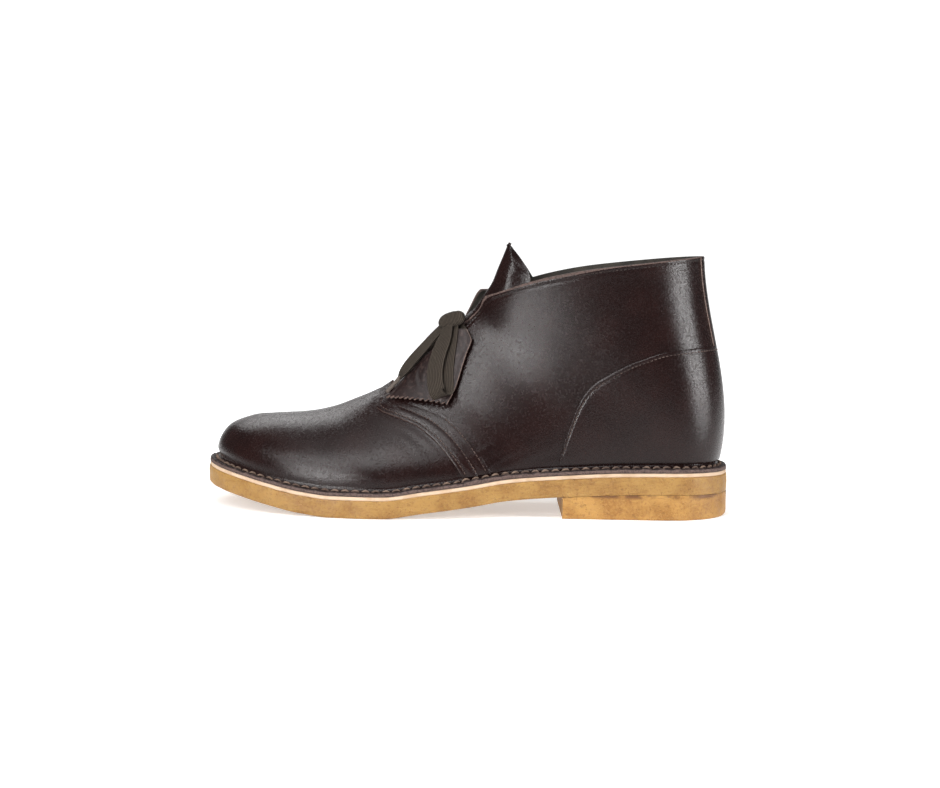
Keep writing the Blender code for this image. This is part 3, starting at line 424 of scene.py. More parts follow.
def wall_normal(at, v):
    """Outward unit normal of the wall."""
    at, v = np.broadcast_arrays(np.asarray(at, float), np.asarray(v, float))
    small = 2e-3
    near_top = np.minimum(v, 0.985)
    along = wall_point(at + 0.02, near_top) - wall_point(at - 0.02, near_top)
    upward = wall_point(at, np.clip(v + small, 0.0, 1.0)) - wall_point(at, np.clip(v - small, 0.0, 1.0))
    on_ridge = (row_of(at) <= COLLAR_FRONT_ROW) & (v > 0.9999)
    slope = fine("slope", at)
    ridge_normal = np.stack([-slope, np.zeros_like(slope), np.ones_like(slope)], axis=-1)
    return np.where(on_ridge[..., None], unit(ridge_normal), unit(np.cross(along, upward)))


def offset_wall(at, v, lift):
    """Wall point moved outwards by lift."""
    return wall_point(at, v) + wall_normal(at, v) * np.asarray(lift, float)[..., None]


def row_of(at):
    """Section row of a loop place, on either side."""
    place = np.mod(np.asarray(at, float), LOOP_ROWS)
    return np.minimum(place, LOOP_ROWS - place)


def at_side(row, side):
    """Loop place of a section row on the outer side (1) or the inner side (-1)."""
    return row if side > 0 else LOOP_ROWS - row


def seam_shift(level):
    """How many rows the quarters' front edge lies behind SEAM_ROW at a level."""
    return monotone(SEAM["level"], SEAM["row"], level) - SEAM_ROW


def skewed(at, level):
    """Loop place of a column at a level, with the columns near the seam drawn onto the seam's own line."""
    place = np.mod(np.asarray(at, float), LOOP_ROWS)
    shift = seam_shift(level) * (1 - ramp(np.abs(row_of(place) - SEAM_ROW), 0.0, SEAM_SPREAD_ROWS))
    return np.where(place > HEEL_ROW, place - shift, place + shift)


def quarter_lift(at):
    """How far the quarters' leather stands out from the last's own face, most at the seam."""
    return QUARTER_STEP * (1.0 - QUARTER_STEP_LOSS * ramp(row_of(at), SEAM_ROW, COLLAR_FRONT_ROW))


RIDGE_ROWS = np.linspace(0.0, COLLAR_FRONT_ROW, 60)
RIDGE = wall_point(RIDGE_ROWS, 1.0)[::-1]
COLLAR_FRONT = wall_point(COLLAR_FRONT_ROW, 1.0)


def ridge_line(x):
    """Sideways place of the upper's ridge at x."""
    return np.interp(x, RIDGE[:, 0], RIDGE[:, 1])


def throat_half_width(x):
    """Half width of the gap between the quarters at x."""
    ends = (COLLAR_FRONT[0], from_middle(THROAT_FRONT_AT))
    return np.interp(x, ends, (THROAT_HALF_WIDTH_TOP, THROAT_HALF_WIDTH_LOW))


WIDTH_ROWS = np.linspace(6.0, COLLAR_FRONT_ROW + 1.5, 140)
WIDTH_LEVELS = np.linspace(0.3, 1.0, 300)


def sideways(side):
    """Place of each wall point along x and away from the ridge, at WIDTH_ROWS and WIDTH_LEVELS."""
    rows, levels = np.meshgrid(WIDTH_ROWS, WIDTH_LEVELS, indexing="ij")
    points = wall_point(at_side(rows, side), levels)
    return points[..., 0], np.abs(points[..., 1] - ridge_line(points[..., 0]))


SIDEWAYS = {side: sideways(side) for side in (1, -1)}


def first_inside(away):
    """Level at which away falls below zero, or 1."""
    inside = np.nonzero(away < 0)[0]
    if not len(inside) or inside[0] == 0:
        return 1.0
    k = inside[0]
    share = away[k - 1] / (away[k - 1] - away[k])
    return WIDTH_LEVELS[k - 1] + (WIDTH_LEVELS[k] - WIDTH_LEVELS[k - 1]) * share


def level_at_width(row, half_width, side):
    """Level of the wall, at a section row, that lies half_width to one side of the ridge; 1 if none does."""
    place = np.interp(row, WIDTH_ROWS, np.arange(len(WIDTH_ROWS)))
    k = min(int(place), len(WIDTH_ROWS) - 2)
    away = SIDEWAYS[side][1][k] * (1 - place + k) + SIDEWAYS[side][1][k + 1] * (place - k)
    return first_inside(away - half_width)


TOP_LEVELS = {
    side: np.array([first_inside(away - throat_half_width(x)) for x, away in zip(*SIDEWAYS[side])])
    for side in (1, -1)
}


def top_level(row, side):
    """Highest level that the quarter reaches at a section row."""
    return np.interp(row, WIDTH_ROWS, TOP_LEVELS[side], right=1.0)


def millimetres_per_row(at, level):
    """Length of one section row on the leather."""
    small = 0.02
    step = wall_point(at + small, level) - wall_point(at - small, level)
    return np.linalg.norm(step, axis=-1) / (2 * small) / MM


def millimetres_per_level(at, level):
    """Length of one whole level on the leather."""
    small = 0.01
    high = np.minimum(level + small, 1.0)
    low = np.maximum(level - small, 0.0)
    step = wall_point(at, high) - wall_point(at, low)
    return np.linalg.norm(step, axis=-1) / (high - low) / MM


# Objects


def add_object(name, data):
    """New object in the scene."""
    thing = bpy.data.objects.new(name, data)
    bpy.context.scene.collection.objects.link(thing)
    return thing


def mesh_object(name, points, faces, looks, slots=None, sharp=None, loops_uv=None):
    """Smooth-shaded object. looks are its materials, slots the one of each face, sharp is in degrees."""
    mesh = bpy.data.meshes.new(name)
    mesh.from_pydata([tuple(p) for p in points], [], [tuple(f) for f in faces])
    for look in looks:
        mesh.materials.append(look)
    if slots is not None:
        mesh.polygons.foreach_set("material_index", np.asarray(slots, np.int32))
    if loops_uv is not None:
        layer = mesh.uv_layers.new(name="UVMap")
        layer.data.foreach_set("uv", np.asarray(loops_uv, np.float32).ravel())
    mesh.polygons.foreach_set("use_smooth", np.ones(len(mesh.polygons), bool))
    mesh.validate()
    if sharp is not None:
        mesh.set_sharp_from_angle(angle=math.radians(sharp))
    return add_object(name, mesh)


def settle(thing, nodes=()):
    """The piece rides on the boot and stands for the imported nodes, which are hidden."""
    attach(thing, BODY)
    if nodes:
        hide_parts(*nodes)
    return thing


EDGE_SHARES = (0.12, 0.5, 0.88)
EDGE_ANGLE = 50.0
SOLE_ANGLE = 45.0
WELD_DISTANCE = 2e-6


def weld(thing, sharp):
    """Joins points that lie together and keeps edges sharp beyond that angle in degrees."""
    build = bmesh.new()
    build.from_mesh(thing.data)
    bmesh.ops.remove_doubles(build, verts=build.verts, dist=WELD_DISTANCE)
    bmesh.ops.recalc_face_normals(build, faces=build.faces)
    build.to_mesh(thing.data)
    build.free()
    thing.data.set_sharp_from_angle(angle=math.radians(sharp))
    return thing


def ring_faces(count, rings):
    """Quads between closed rings of count points each, numbered ring after ring."""
    k = np.arange(count)
    base = np.arange(rings - 1)[:, None] * count
    following = (k + 1) % count
    quads = [base + k, base + following, base + count + following, base + count + k]
    return np.stack(quads, axis=2).reshape(-1, 4).tolist()


def tube_faces(count, rings):
    """Quads between the rings of a tube, then its two caps."""
    last = (rings - 1) * count
    return ring_faces(count, rings) + [list(range(count))[::-1], list(range(last, last + count))]


def border_of(rows, columns):
    """Point numbers round the border of a grid."""
    border = list(range(columns))
    border += [r * columns + columns - 1 for r in range(1, rows)]
    border += [(rows - 1) * columns + c for c in range(columns - 2, -1, -1)]
    border += [r * columns for r in range(rows - 2, 0, -1)]
    return border


def sheet_solid(name, outer, inner, looks, slots=None, folded=False):
    """Closed sheet between two grids.

    looks are the outer face, both halves of the edge, the inner face, and what slots names.
    folded: the first row lies folded on itself, and is welded there.
    """
    rows, columns = outer.shape[:2]
    size = rows * columns
    points = [outer.reshape(-1, 3), inner.reshape(-1, 3)]
    border = np.array(border_of(rows, columns))
    if folded:
        border = np.concatenate([border[columns - 1:], border[:1]])
    first = points[0][border]
    second = points[1][border]
    rings = [border]
    base = 2 * size
    for share in EDGE_SHARES:
        points.append(first * (1 - share) + second * share)
        rings.append(base + np.arange(len(border)))
        base += len(border)
    rings.append(border + size)
    a = (np.arange(rows - 1)[:, None] * columns + np.arange(columns - 1)).ravel()
    faces = [np.stack([a, a + 1, a + columns + 1, a + columns], axis=1)]
    faces.append(size + np.stack([a, a + columns, a + columns + 1, a + 1], axis=1))
    kinds = [np.zeros(len(a), int) if slots is None else np.asarray(slots).ravel(), np.full(len(a), 3)]
    for k, (here, below) in enumerate(zip(rings[:-1], rings[1:])):
        ring = np.stack([here, below, np.roll(below, -1), np.roll(here, -1)], axis=1)
        if folded:
            ring = ring[:-1]
        faces.append(ring)
        kinds.append(np.full(len(ring), 1 if k <= len(EDGE_SHARES) // 2 else 2))
    faces = np.concatenate(faces).tolist()
    return weld(mesh_object(name, np.concatenate(points), faces, looks, np.concatenate(kinds)), EDGE_ANGLE)


def spaced(points, step, start=0.0):
    """Places along a polyline every step, their tangents, and their shares of its length."""
    total = lengths_along(points)
    count = max(2, int((total[-1] - start) / step))
    wanted = start + np.arange(count) * step
    wanted = wanted[wanted < total[-1]]
    tangents = unit(read_at(wanted + step / 4, total, points) - read_at(wanted - step / 4, total, points))
    return read_at(wanted, total, points), tangents, wanted / total[-1]


# A thread's rings: place along it, height in radii and width, then its sides and how oval it is
THREAD = by_column(
    "share height width",
    (-0.50, -1.30, 0.55), (-0.42, -0.20, 0.90), (-0.20, 0.65, 1.00), (0.00, 0.90, 1.00),
    (0.20, 0.65, 1.00), (0.42, -0.20, 0.90), (0.50, -1.30, 0.55),
)
THREAD_SIDES = 6
THREAD_OVAL = (1.15, 0.85)
THREAD_LEAN = 0.06
THREAD_LENGTHS = (0.92, 1.06)


def stitches(name, lines, look, pitch, length, radius, slant=0.0, wander=0.0):
    """Row of sewn threads. lines are (points, normals) pairs that the threads lie along."""
    points, faces = [], []
    random = np.random.default_rng(7)
    turn = np.linspace(0.0, 2 * math.pi, THREAD_SIDES, endpoint=False)[:, None]
    thread_faces = tube_faces(THREAD_SIDES, len(THREAD["share"]))
    for path, normals in lines:
        centres, tangents, shares = spaced(path, pitch, pitch / 2)
        facing = unit(read_at(shares, np.linspace(0.0, 1.0, len(normals)), normals))
        for centre, tangent, normal in zip(centres, tangents, facing):
            across = unit(np.cross(normal, tangent))
            lean = slant + random.normal(0.0, THREAD_LEAN)
            along = tangent * math.cos(lean) + across * math.sin(lean)
            side = np.cross(normal, along)
            centre = centre + across * random.normal(0.0, 1.0) * wander
            size = length * random.uniform(*THREAD_LENGTHS)
            middles = centre + np.outer(THREAD["share"] * size, along)
            middles = middles + np.outer(THREAD["height"] * radius, normal)
            ring = (side * np.cos(turn) * THREAD_OVAL[0] + normal * np.sin(turn) * THREAD_OVAL[1]) * radius
            base = len(points)
            points.extend((middles[:, None] + ring * THREAD["width"][:, None, None]).reshape(-1, 3))
            faces += [[base + k for k in face] for face in thread_faces]
    return settle(mesh_object(name, points, faces, [look]))


def leather_line(places, levels, lift):
    """Polyline on the leather's face, with its normals."""
    return offset_wall(places, levels, lift), wall_normal(places, levels)


# Materials


class Nodes:
    """Material with a few shader nodes, linked as they are added."""

    def __init__(self, name, rough):
        self.look = bpy.data.materials.new(name)
        self.look.use_nodes = True
        self.tree = self.look.node_tree
        self.shader = self.tree.nodes["Principled BSDF"]
        self.set("Roughness", rough)
        self.place = self.add("ShaderNodeTexCoord").outputs["Object"]
        self.normal = None

    def add(self, kind, settings=None, **inputs):
        """New node with its settings and its inputs, whose names have _ for a space."""
        node = self.tree.nodes.new(kind)
        for key, value in (settings or {}).items():
            setattr(node, key, value)
        for key, value in inputs.items():
            self.put(node, key.replace("_", " "), value)
        return node

    def put(self, node, socket, value):
        """Links a socket or sets its value. A colour comes without its fourth number."""
        entry = node.inputs[socket]
        if isinstance(value, bpy.types.NodeSocket):
            self.tree.links.new(value, entry)
        else:
            entry.default_value = (*value, 1.0) if entry.type == "RGBA" else value

    def set(self, socket, value):
        self.put(self.shader, socket, value)

    def noise(self, scale, detail=3.0, rough=0.55, vector=None):
        return self.add("ShaderNodeTexNoise", Vector=vector or self.place, Scale=scale, Detail=detail,
                        Roughness=rough).outputs["Fac"]

    def cells(self, scale):
        return self.add("ShaderNodeTexVoronoi", Vector=self.place, Scale=scale).outputs["Distance"]

    def upright(self):
        """Place along each axis."""
        return self.add("ShaderNodeSeparateXYZ", Vector=self.place).outputs

    def band(self, value, low, high, out_low=0.0, out_high=1.0):
        """Value stretched from low..high to out_low..out_high, smooth at both ends."""
        return self.add("ShaderNodeMapRange", {"interpolation_type": "SMOOTHSTEP"}, Value=value, From_Min=low,
                        From_Max=high, To_Min=out_low, To_Max=out_high).outputs["Result"]

    def product(self, first, second):
        node = self.add("ShaderNodeMath", {"operation": "MULTIPLY"})
        self.put(node, 0, first)
        self.put(node, 1, second)
        return node.outputs[0]

    def mixed(self, share, first, second):
        """Colour between the first and the second."""
        node = self.add("ShaderNodeMix", {"data_type": "RGBA"}, Factor=share)
        self.put(node, 6, first)
        self.put(node, 7, second)
        return node.outputs[2]

    def relief(self, height, depth, strength):
        """Adds a bump of that depth in metres over what is there."""
        node = self.add("ShaderNodeBump", Height=height, Distance=depth, Strength=strength)
        if self.normal is not None:
            self.put(node, "Normal", self.normal)
        self.normal = node.outputs["Normal"]
        self.set("Normal", self.normal)


LEATHER_DARK = (0.0095, 0.0038, 0.0035)
LEATHER_WARM = (0.0140, 0.0052, 0.0046)
LEATHER_GLOSS = 0.32
LEATHER_WORN = (0.1300, 0.0850, 0.0720)
RAW_EDGE = (0.250, 0.175, 0.150)
RAW_EDGE_DARK = (0.100, 0.062, 0.052)
EDGE_SHADOW = (0.030, 0.017, 0.014)
LINING_DARK = (0.040, 0.033, 0.026)
LINING_TAN = (0.210, 0.135, 0.080)
CREPE_LIGHT = (0.345, 0.190, 0.048)
CREPE_AMBER = (0.225, 0.102, 0.018)
CREPE_STAIN = (0.135, 0.050, 0.009)
HEEL_LIGHT = (0.420, 0.224, 0.056)
HEEL_AMBER = (0.270, 0.120, 0.020)
MIDSOLE_PALE = (0.600, 0.440, 0.310)
MIDSOLE_SHADE = (0.500, 0.345, 0.225)
LACE_DARK = (0.016, 0.012, 0.009)
LACE_LIGHT = (0.082, 0.064, 0.049)
THREAD_TAN = (0.200, 0.135, 0.098)
THREAD_DARK = (0.030, 0.017, 0.014)
THREAD_SEAM = (0.080, 0.052, 0.043)
TIP_BROWN = (0.110, 0.086, 0.072)
FLOOR_WHITE = (0.82, 0.82, 0.82)
FLANGE_BROWN = (0.105, 0.066, 0.056)
FLANGE_SHADE = (0.036, 0.020, 0.017)
LINING_SHADE = (0.020, 0.017, 0.014)
INSOLE_SHADE = (0.120, 0.070, 0.040)
TIP_SHADE = (0.060, 0.046, 0.038)
THREAD_SHADE = (0.075, 0.046, 0.034)
THREAD_BLACK = (0.014, 0.008, 0.007)
# Height of the joint between the heel block and the sole
HEEL_TOP_STAIN = 0.0135


def leather(name, worn=0.0, rough=(0.20, 0.30), grain=0.5):
    """Smooth leather. worn is how much of it is rubbed pale, grain how deep its pebbles are."""
    n = Nodes(name, 0.38)
    base = n.mixed(n.band(n.noise(55.0, 4.0), 0.35, 0.70), LEATHER_DARK, LEATHER_WARM)
    pebble = n.cells(1900.0)
    base = n.mixed(n.product(n.band(pebble, 0.30, 0.62), 0.30), base, LEATHER_DARK)
    if worn:
        base = n.mixed(n.product(n.band(n.noise(420.0, 4.0), 0.50, 0.68), worn), base, LEATHER_WORN)
    n.set("Base Color", base)
    n.set("Roughness", n.band(n.noise(700.0), 0.30, 0.72, *rough))
    n.relief(n.noise(260.0, 2.0), 0.00004, 0.4 * grain)
    n.relief(pebble, -0.00016, 0.9 * grain)
    n.relief(n.noise(2600.0, 2.0), 0.00008, 0.6 * grain)
    n.set("Specular IOR Level", LEATHER_GLOSS)
    return n.look


def raw_edge(name, light, dark, scale=900.0):
    """Cut leather, patchy at that scale."""
    n = Nodes(name, 0.75)
    n.set("Base Color", n.mixed(n.band(n.noise(scale), 0.30, 0.60), dark, light))
    n.relief(n.noise(1500.0), 0.00010, 0.6)
    return n.look


def fabric(name, light, dark, scale=1400.0):
    """Matt cloth, thread or lining with a weave of that scale."""
    n = Nodes(name, 0.85)
    n.set("Base Color", n.mixed(n.band(n.noise(160.0), 0.35, 0.65), dark, light))
    n.relief(n.noise(scale, 2.0), 0.00015, 0.8)
    return n.look


def crepe(name, light, amber, joint=None):
    """Crepe rubber. joint is the height of a glued joint with amber stains on it."""
    n = Nodes(name, 0.55)
    base = n.mixed(n.band(n.noise(60.0, 6.0, 0.68), 0.34, 0.62), amber, light)
    flat = n.add("ShaderNodeMapping", Vector=n.place, Scale=(60.0, 60.0, 420.0)).outputs["Vector"]
    base = n.mixed(n.product(n.band(n.noise(1.0, 6.0, 0.65, flat), 0.50, 0.72), 0.75), base, amber)
    base = n.mixed(n.product(n.band(n.noise(700.0, 3.0, 0.7), 0.44, 0.62), 0.45), base, light)
    base = n.mixed(n.product(n.band(n.noise(620.0), 0.54, 0.68), 0.38), base, CREPE_STAIN)
    if joint:
        near = n.band(n.upright()["Z"], joint - 0.0022, joint - 0.0002)
        base = n.mixed(n.product(near, n.band(n.noise(95.0), 0.38, 0.60)), base, CREPE_STAIN)
    n.set("Base Color", base)
    n.set("Roughness", n.band(n.noise(240.0), 0.3, 0.7, 0.45, 0.68))
    n.relief(n.band(n.cells(760.0), 0.05, 0.42), 0.00030, 0.8)
    n.relief(n.noise(1300.0), 0.00025, 0.7)
    n.relief(n.noise(130.0, 4.0), 0.0006, 0.45)
    n.set("Subsurface Weight", 0.12)
    n.set("Subsurface Radius", (0.004, 0.002, 0.0008))
    return n.look


def cotton(name, light, dark):
    """Flat woven lace: ribs along its length, in the piece's own map."""
    n = Nodes(name, 0.9)
    n.set("Specular IOR Level", 0.25)
    along = n.add("ShaderNodeUVMap").outputs["UV"]
    waves = []
    for axis, scale, bend in (("X", 3.1, 0.6), ("Y", 3.72, 1.4)):
        direction = {"bands_direction": axis}
        wave = n.add("ShaderNodeTexWave", direction, Vector=along, Scale=scale, Distortion=bend)
        waves.append(wave.outputs["Fac"])
    both = n.product(waves[0], n.band(waves[1], 0.0, 1.0, 0.55, 1.0))
    n.set("Base Color", n.mixed(both, dark, light))
    n.relief(both, 0.00035, 1.0)
    n.relief(n.noise(1800.0, 2.0), 0.00008, 0.5)
    return n.look


LEATHER = leather("boot_leather")
LEATHER_EDGE_WORN = leather("worn_leather", worn=0.8)
FLANGE_LEATHER = leather("flange_leather", worn=0.55, rough=(0.5, 0.72), grain=1.4)
EDGE = raw_edge("raw_edge", RAW_EDGE, RAW_EDGE_DARK)
TAG_LEATHER = leather("tag_leather", worn=0.25, rough=(0.34, 0.55))
COLLAR_EDGE = raw_edge("collar_edge", RAW_EDGE_DARK, EDGE_SHADOW)
# Inner half of each cut edge: painted shade, in the shadow colour mottled with the darkest leather
EDGE_PAINTED_SHADE = raw_edge("edge_under_painted_shade", EDGE_SHADOW, LEATHER_DARK)
FLANGE_SIDE = raw_edge("flange_side", FLANGE_BROWN, FLANGE_SHADE)
LINING = fabric("lining", LINING_DARK, LINING_SHADE)
INSOLE = fabric("insole_leather", LINING_TAN, INSOLE_SHADE, 700.0)
CREPE = crepe("crepe", CREPE_LIGHT, CREPE_AMBER)
CREPE_HEEL = crepe("crepe_heel", HEEL_LIGHT, HEEL_AMBER, HEEL_TOP_STAIN)
MIDSOLE_LOOK = raw_edge("midsole_edge", MIDSOLE_PALE, MIDSOLE_SHADE, 130.0)
LACE_LOOK = cotton("lace", LACE_LIGHT, LACE_DARK)
TIP_LOOK = raw_edge("lace_tip", TIP_BROWN, TIP_SHADE)
FLANGE_THREAD = fabric("flange_thread", THREAD_TAN, THREAD_SHADE, 2600.0)
SEAM_THREAD = fabric("seam_thread", THREAD_SEAM, THREAD_DARK, 2600.0)
DARK_THREAD = fabric("dark_thread", THREAD_DARK, THREAD_BLACK, 2600.0)


# Upper

FLANGE_EDGE_INSET = 0.0003
VAMP_UNDERLAP_ROWS = 0.32
# Millimetres from a cut edge to its seam, on the back strip too, and between the quarter's seam rows
EDGE_STITCH = 2.2
STRIP_STITCH = 1.5
STITCH_ROW_GAP = 7.0
SEAM_ROW_GAP = STITCH_ROW_GAP * 0.93
FLANGE_STITCH_INSET = 0.0044
FLANGE_PITCH = 0.0057

# Outer profile of the flange, in millimetres: inset from the sole's outline and height over its underside
FLANGE_PROFILE = (
    (0.45, 0.00), (0.20, 0.35), (0.10, 0.85), (0.12, 1.30), (0.30, 1.70), (0.62, 1.92),
    (1.05, 2.00), (1.90, 2.02), (2.80, 1.98), (3.50, 1.86), (4.10, 1.70), (4.60, 1.74), (5.10, 1.98),
)
FLANGE_SIDE_ROWS = 4
FILLET_ANGLES = (20.0, 40.0, 58.0, 74.0)


def wavy(at, seed, waves, height):
    """Smooth random waviness round the loop, of about that height."""
    random = np.random.default_rng(seed)
    out = np.zeros_like(np.asarray(at, float))
    for _ in range(8):
        turns = random.integers(waves // 2, waves)
        out = out + math.sqrt(2 / 8) * np.sin(2 * math.pi * turns * at / LOOP_ROWS + random.uniform(0, 6.28))
    return out * height


# Usual length of a section row and of a whole level, in millimetres
ROW_MM = 22
LEVEL_MM = 95


def dimples(at, level, seed, count, size_mm, depth_mm):
    """Soft hollows and swellings scattered over the leather, in millimetres."""
    random = np.random.default_rng(seed)
    out = np.zeros(np.broadcast(at, level).shape)
    for _ in range(count):
        place = random.uniform(0, LOOP_ROWS)
        height = random.uniform(0.1, 0.95)
        wide = size_mm * random.uniform(0.7, 1.6)
        away = np.mod(at - place + LOOP_ROWS / 2, LOOP_ROWS) - LOOP_ROWS / 2
        near = bump(away * ROW_MM, 0, wide) * bump(level * LEVEL_MM, height * LEVEL_MM, wide)
        out = out + random.normal(0, 1) * depth_mm * near
    return out


def seam_distance(at, level):
    """Millimetres behind the quarter's front edge, along the boot."""
    behind = row_of(at) - (SEAM_ROW + seam_shift(level))
    return behind * millimetres_per_row(at, level)


# Depth and half width, in millimetres, of the grooves of the seams and of the rounded cut edges
FRONT_SEAM = (0.24, 0.75)
TOP_SEAM = (0.22, 0.70)
COUNTER_SEAM = (0.26, 0.70)
STRIP_SEAM = (0.22, 0.55)
COLLAR_RIM = (0.30, 0.45)
FRONT_RIM = (0.30, 0.35)
COUNTER_RIM = (0.35, 0.40)
STRIP_RIM = (0.30, 0.35)
VAMP_TUCK = (0.25, 2.50)


def groove(distance, middle, size):
    """Depth of a groove at a distance, in millimetres."""
    return size[0] * bump(distance, middle, size[1])


# How far the toe's wall swells over the last, in millimetres
TOE_FULLER = 1.5
# Soft folds across the vamp: millimetres before the seam, depth, width, and the levels that each runs between
VAMP_CREASES = (
    (9.0, 0.22, 3.0, 0.10, 0.42),
    (17.0, 0.16, 4.0, 0.16, 0.36),
)


def vamp_relief(at, level):
    """Height over the last's own face, in metres."""
    before = -seam_distance(at, level)
    swell = ramp(level, 0.0, 0.10) * (1 - ramp(level, 0.40, 0.75))
    height = TOE_FULLER * bump(row_of(at), 0.0, 1.6) * swell - groove(before, 1.5, VAMP_TUCK)
    for middle, depth, width, low, high in VAMP_CREASES:
        length = ramp(level, low - 0.12, low + 0.05) * (1 - ramp(level, high - 0.05, high + 0.12))
        height = height - groove(before, middle, (depth, width)) * length
    return (dimples(at, level, 3, 46, 9.0, 0.10) + height) * MM


# Folds in the quarter near the seam's foot and under the collar's front: row, level, then length,
# height and depth in millimetres
QUARTER_FOLDS = (
    (8.95, 0.10, 9.0, 2.2, 0.30),
    (8.85, 0.17, 8.0, 2.0, -0.22),
    (9.35, 0.07, 10.0, 2.2, 0.25),
    (10.9, 0.06, 14.0, 2.6, 0.18),
)
# Padded bands between the quarter's seam rows: height, place in row gaps, and 1 where it ends lower down
QUARTER_PADS = ((0.55, 0.46, 0), (0.42, 1.42, 1))
# How far the corner of the inner side's facing flares out beside the tongue, forwards and upwards
CORNER_FLARE = (0.0046, 0.0, 0.0043)
CORNER_ROW = 11.28
CORNER_ROWS = 0.68
CORNER_DEPTH = 9.0
BEND_PASSES = 160


def quarter_relief(at, level):
    """Height over the last's own face, in metres."""
    behind = seam_distance(at, level)
    outer_side = np.mod(at, LOOP_ROWS) < HEEL_ROW
    top = np.where(outer_side, top_level(row_of(at), 1), top_level(row_of(at), -1))
    below = (top - level) * millimetres_per_level(at, level)
    fade_up = 1 - ramp(level, 0.62, 0.80)
    height = -groove(below, EDGE_STITCH, TOP_SEAM) * ramp(behind, 4.0, 9.0)
    height = height - groove(below, 0.0, COLLAR_RIM) - groove(behind, 0.0, FRONT_RIM)
    for k in range(3):
        height = height - groove(behind, EDGE_STITCH + k * SEAM_ROW_GAP, FRONT_SEAM) * (fade_up if k else 1.0)
    for swell, rows, shorter in QUARTER_PADS:
        pad = bump(behind, EDGE_STITCH + STITCH_ROW_GAP * rows, 2.3) * fade_up
        height = height + swell * pad * (1 - shorter * ramp(level, 0.30, 0.55))
    for row, fold_level, long, wide, depth in QUARTER_FOLDS:
        away = (row_of(at) - row) * millimetres_per_row(at, level)
        lift = (level - fold_level) * millimetres_per_level(at, level)
        height = height - depth * bump(away, 0, long) * bump(lift - 0.25 * away, 0, wide)
    return quarter_lift(at) + (height + dimples(at, level, 11, 70, 10.0, 0.13)) * MM


def eased(rows, levels, grid):
    """Wall points with the bend under the collar's front made softer, its borders kept."""
    soft = grid.copy()
    for _ in range(BEND_PASSES):
        soft[1:-1, 1:-1] = (soft[:-2, 1:-1] + soft[2:, 1:-1] + soft[1:-1, :-2] + soft[1:-1, 2:]) / 4
    share = ramp(rows, 9.6, 10.6) * (1 - ramp(rows, 13.4, 14.6)) * ramp(levels, 0.22, 0.40)
    return grid + (soft - grid) * share[..., None]


ALONG_PLACES = np.linspace(0.0, LOOP_ROWS, 1500)
ALONG_EDGE = lengths_along(plan_of(ALONG_PLACES, FLANGE_STITCH_INSET))


def path_along(at):
    """Length round the sole's edge from the toe to a loop place."""
    return np.interp(np.mod(at, LOOP_ROWS), ALONG_PLACES, ALONG_EDGE)


def flange_rows(places, lift):
    """Rows of points from the flange's lower edge to the wall's root, and their feet on the midsole."""
    outer, inner = [], []
    swing = wavy(places, 5, 90, 0.10) * MM
    puckers = 0.16 * MM * np.sin(2 * math.pi * path_along(places) / FLANGE_PITCH)
    for inset, height in FLANGE_PROFILE:
        plan = plan_of(places, inset * MM + FLANGE_EDGE_INSET)
        low = bed(plan[:, 0])
        share = min(1.0, height / 2.0)
        rise = (height * MM + swing + lift * 0.6 + CLEARANCE) * share
        pucker = puckers * bump(inset, 4.2, 1.6) + 0.4 * puckers * share
        outer.append(np.column_stack([plan, low + 0.02 * MM + rise + pucker]))
        inner.append(np.column_stack([plan, low + 0.01 * MM]))
    for angle in np.radians(FILLET_ANGLES):
        inset = FLANGE_WIDTH - FLANGE_ROOT_RADIUS * (1 - math.sin(angle))
        height = WALL + FLANGE_ROOT_RADIUS * (1 - math.cos(angle))
        plan = plan_of(places, inset)
        outer.append(np.column_stack([plan, bed(plan[:, 0]) + CLEARANCE + height + lift * 0.6]))
        foot = plan_of(places, inset + WALL * math.sin(angle))
        inner.append(np.column_stack([foot, bed(foot[:, 0]) + CLEARANCE * 0.5 + height * 0.3]))
    return outer, inner


# Mesh steps along and up each leather piece, besides the close ones at its borders
VAMP_STEPS = (190, 62)
QUARTER_STEPS = (230, 104)
COUNTER_STEPS = (300, 70)
TONGUE_STEPS = (130, 39)
# The third look of each set paints shade on the inner half of the cut edges
UPPER_LOOKS = (LEATHER, COLLAR_EDGE, EDGE_PAINTED_SHADE, LINING, FLANGE_SIDE, FLANGE_LEATHER)
COUNTER_LOOKS = (LEATHER, LEATHER_EDGE_WORN, EDGE_PAINTED_SHADE, LINING)
STRIP_LOOKS = (LEATHER, EDGE, EDGE_PAINTED_SHADE, LINING)


def upper_slots(count, rim=0):
    """Material of each outer face from the flange's lower edge up. The last rim ones are cut leather."""
    slots = np.zeros(count, int)
    slots[count - rim:] = 1
    slots[:FLANGE_SIDE_ROWS] = 4
    slots[FLANGE_SIDE_ROWS:len(FLANGE_PROFILE)] = 5
    return slots


def make_vamp():
    """Toe and forefoot piece with its out-turned flange, from one side over the ridge to the other."""
    rows = np.linspace(0.0, SEAM_ROW + VAMP_UNDERLAP_ROWS, VAMP_STEPS[0])
    halves = []
    for side in (1, -1):
        outer, inner = flange_rows(skewed(at_side(rows, side), 0.0), 0.0)
        for level in np.linspace(0.0, 1.0, VAMP_STEPS[1]):
            at = skewed(at_side(rows, side), level)
            v = np.full(len(rows), level)
            outer.append(offset_wall(at, v, vamp_relief(at, v)))
            inner.append(offset_wall(at, v, -WALL * 0.95))
        halves.append((np.stack(outer, axis=1), np.stack(inner, axis=1)))
    skins = [np.concatenate([first[:, :-1], (first[:, -1:] + second[:, -1:]) / 2, second[:, -2::-1]], axis=1)
             for first, second in zip(*halves)]
    half = upper_slots(halves[0][0].shape[1] - 1)
    slots = np.tile(np.concatenate([half, half[::-1]]), (len(rows) - 1, 1))
    return sheet_solid("vamp", *skins, UPPER_LOOKS, slots=slots, folded=True)


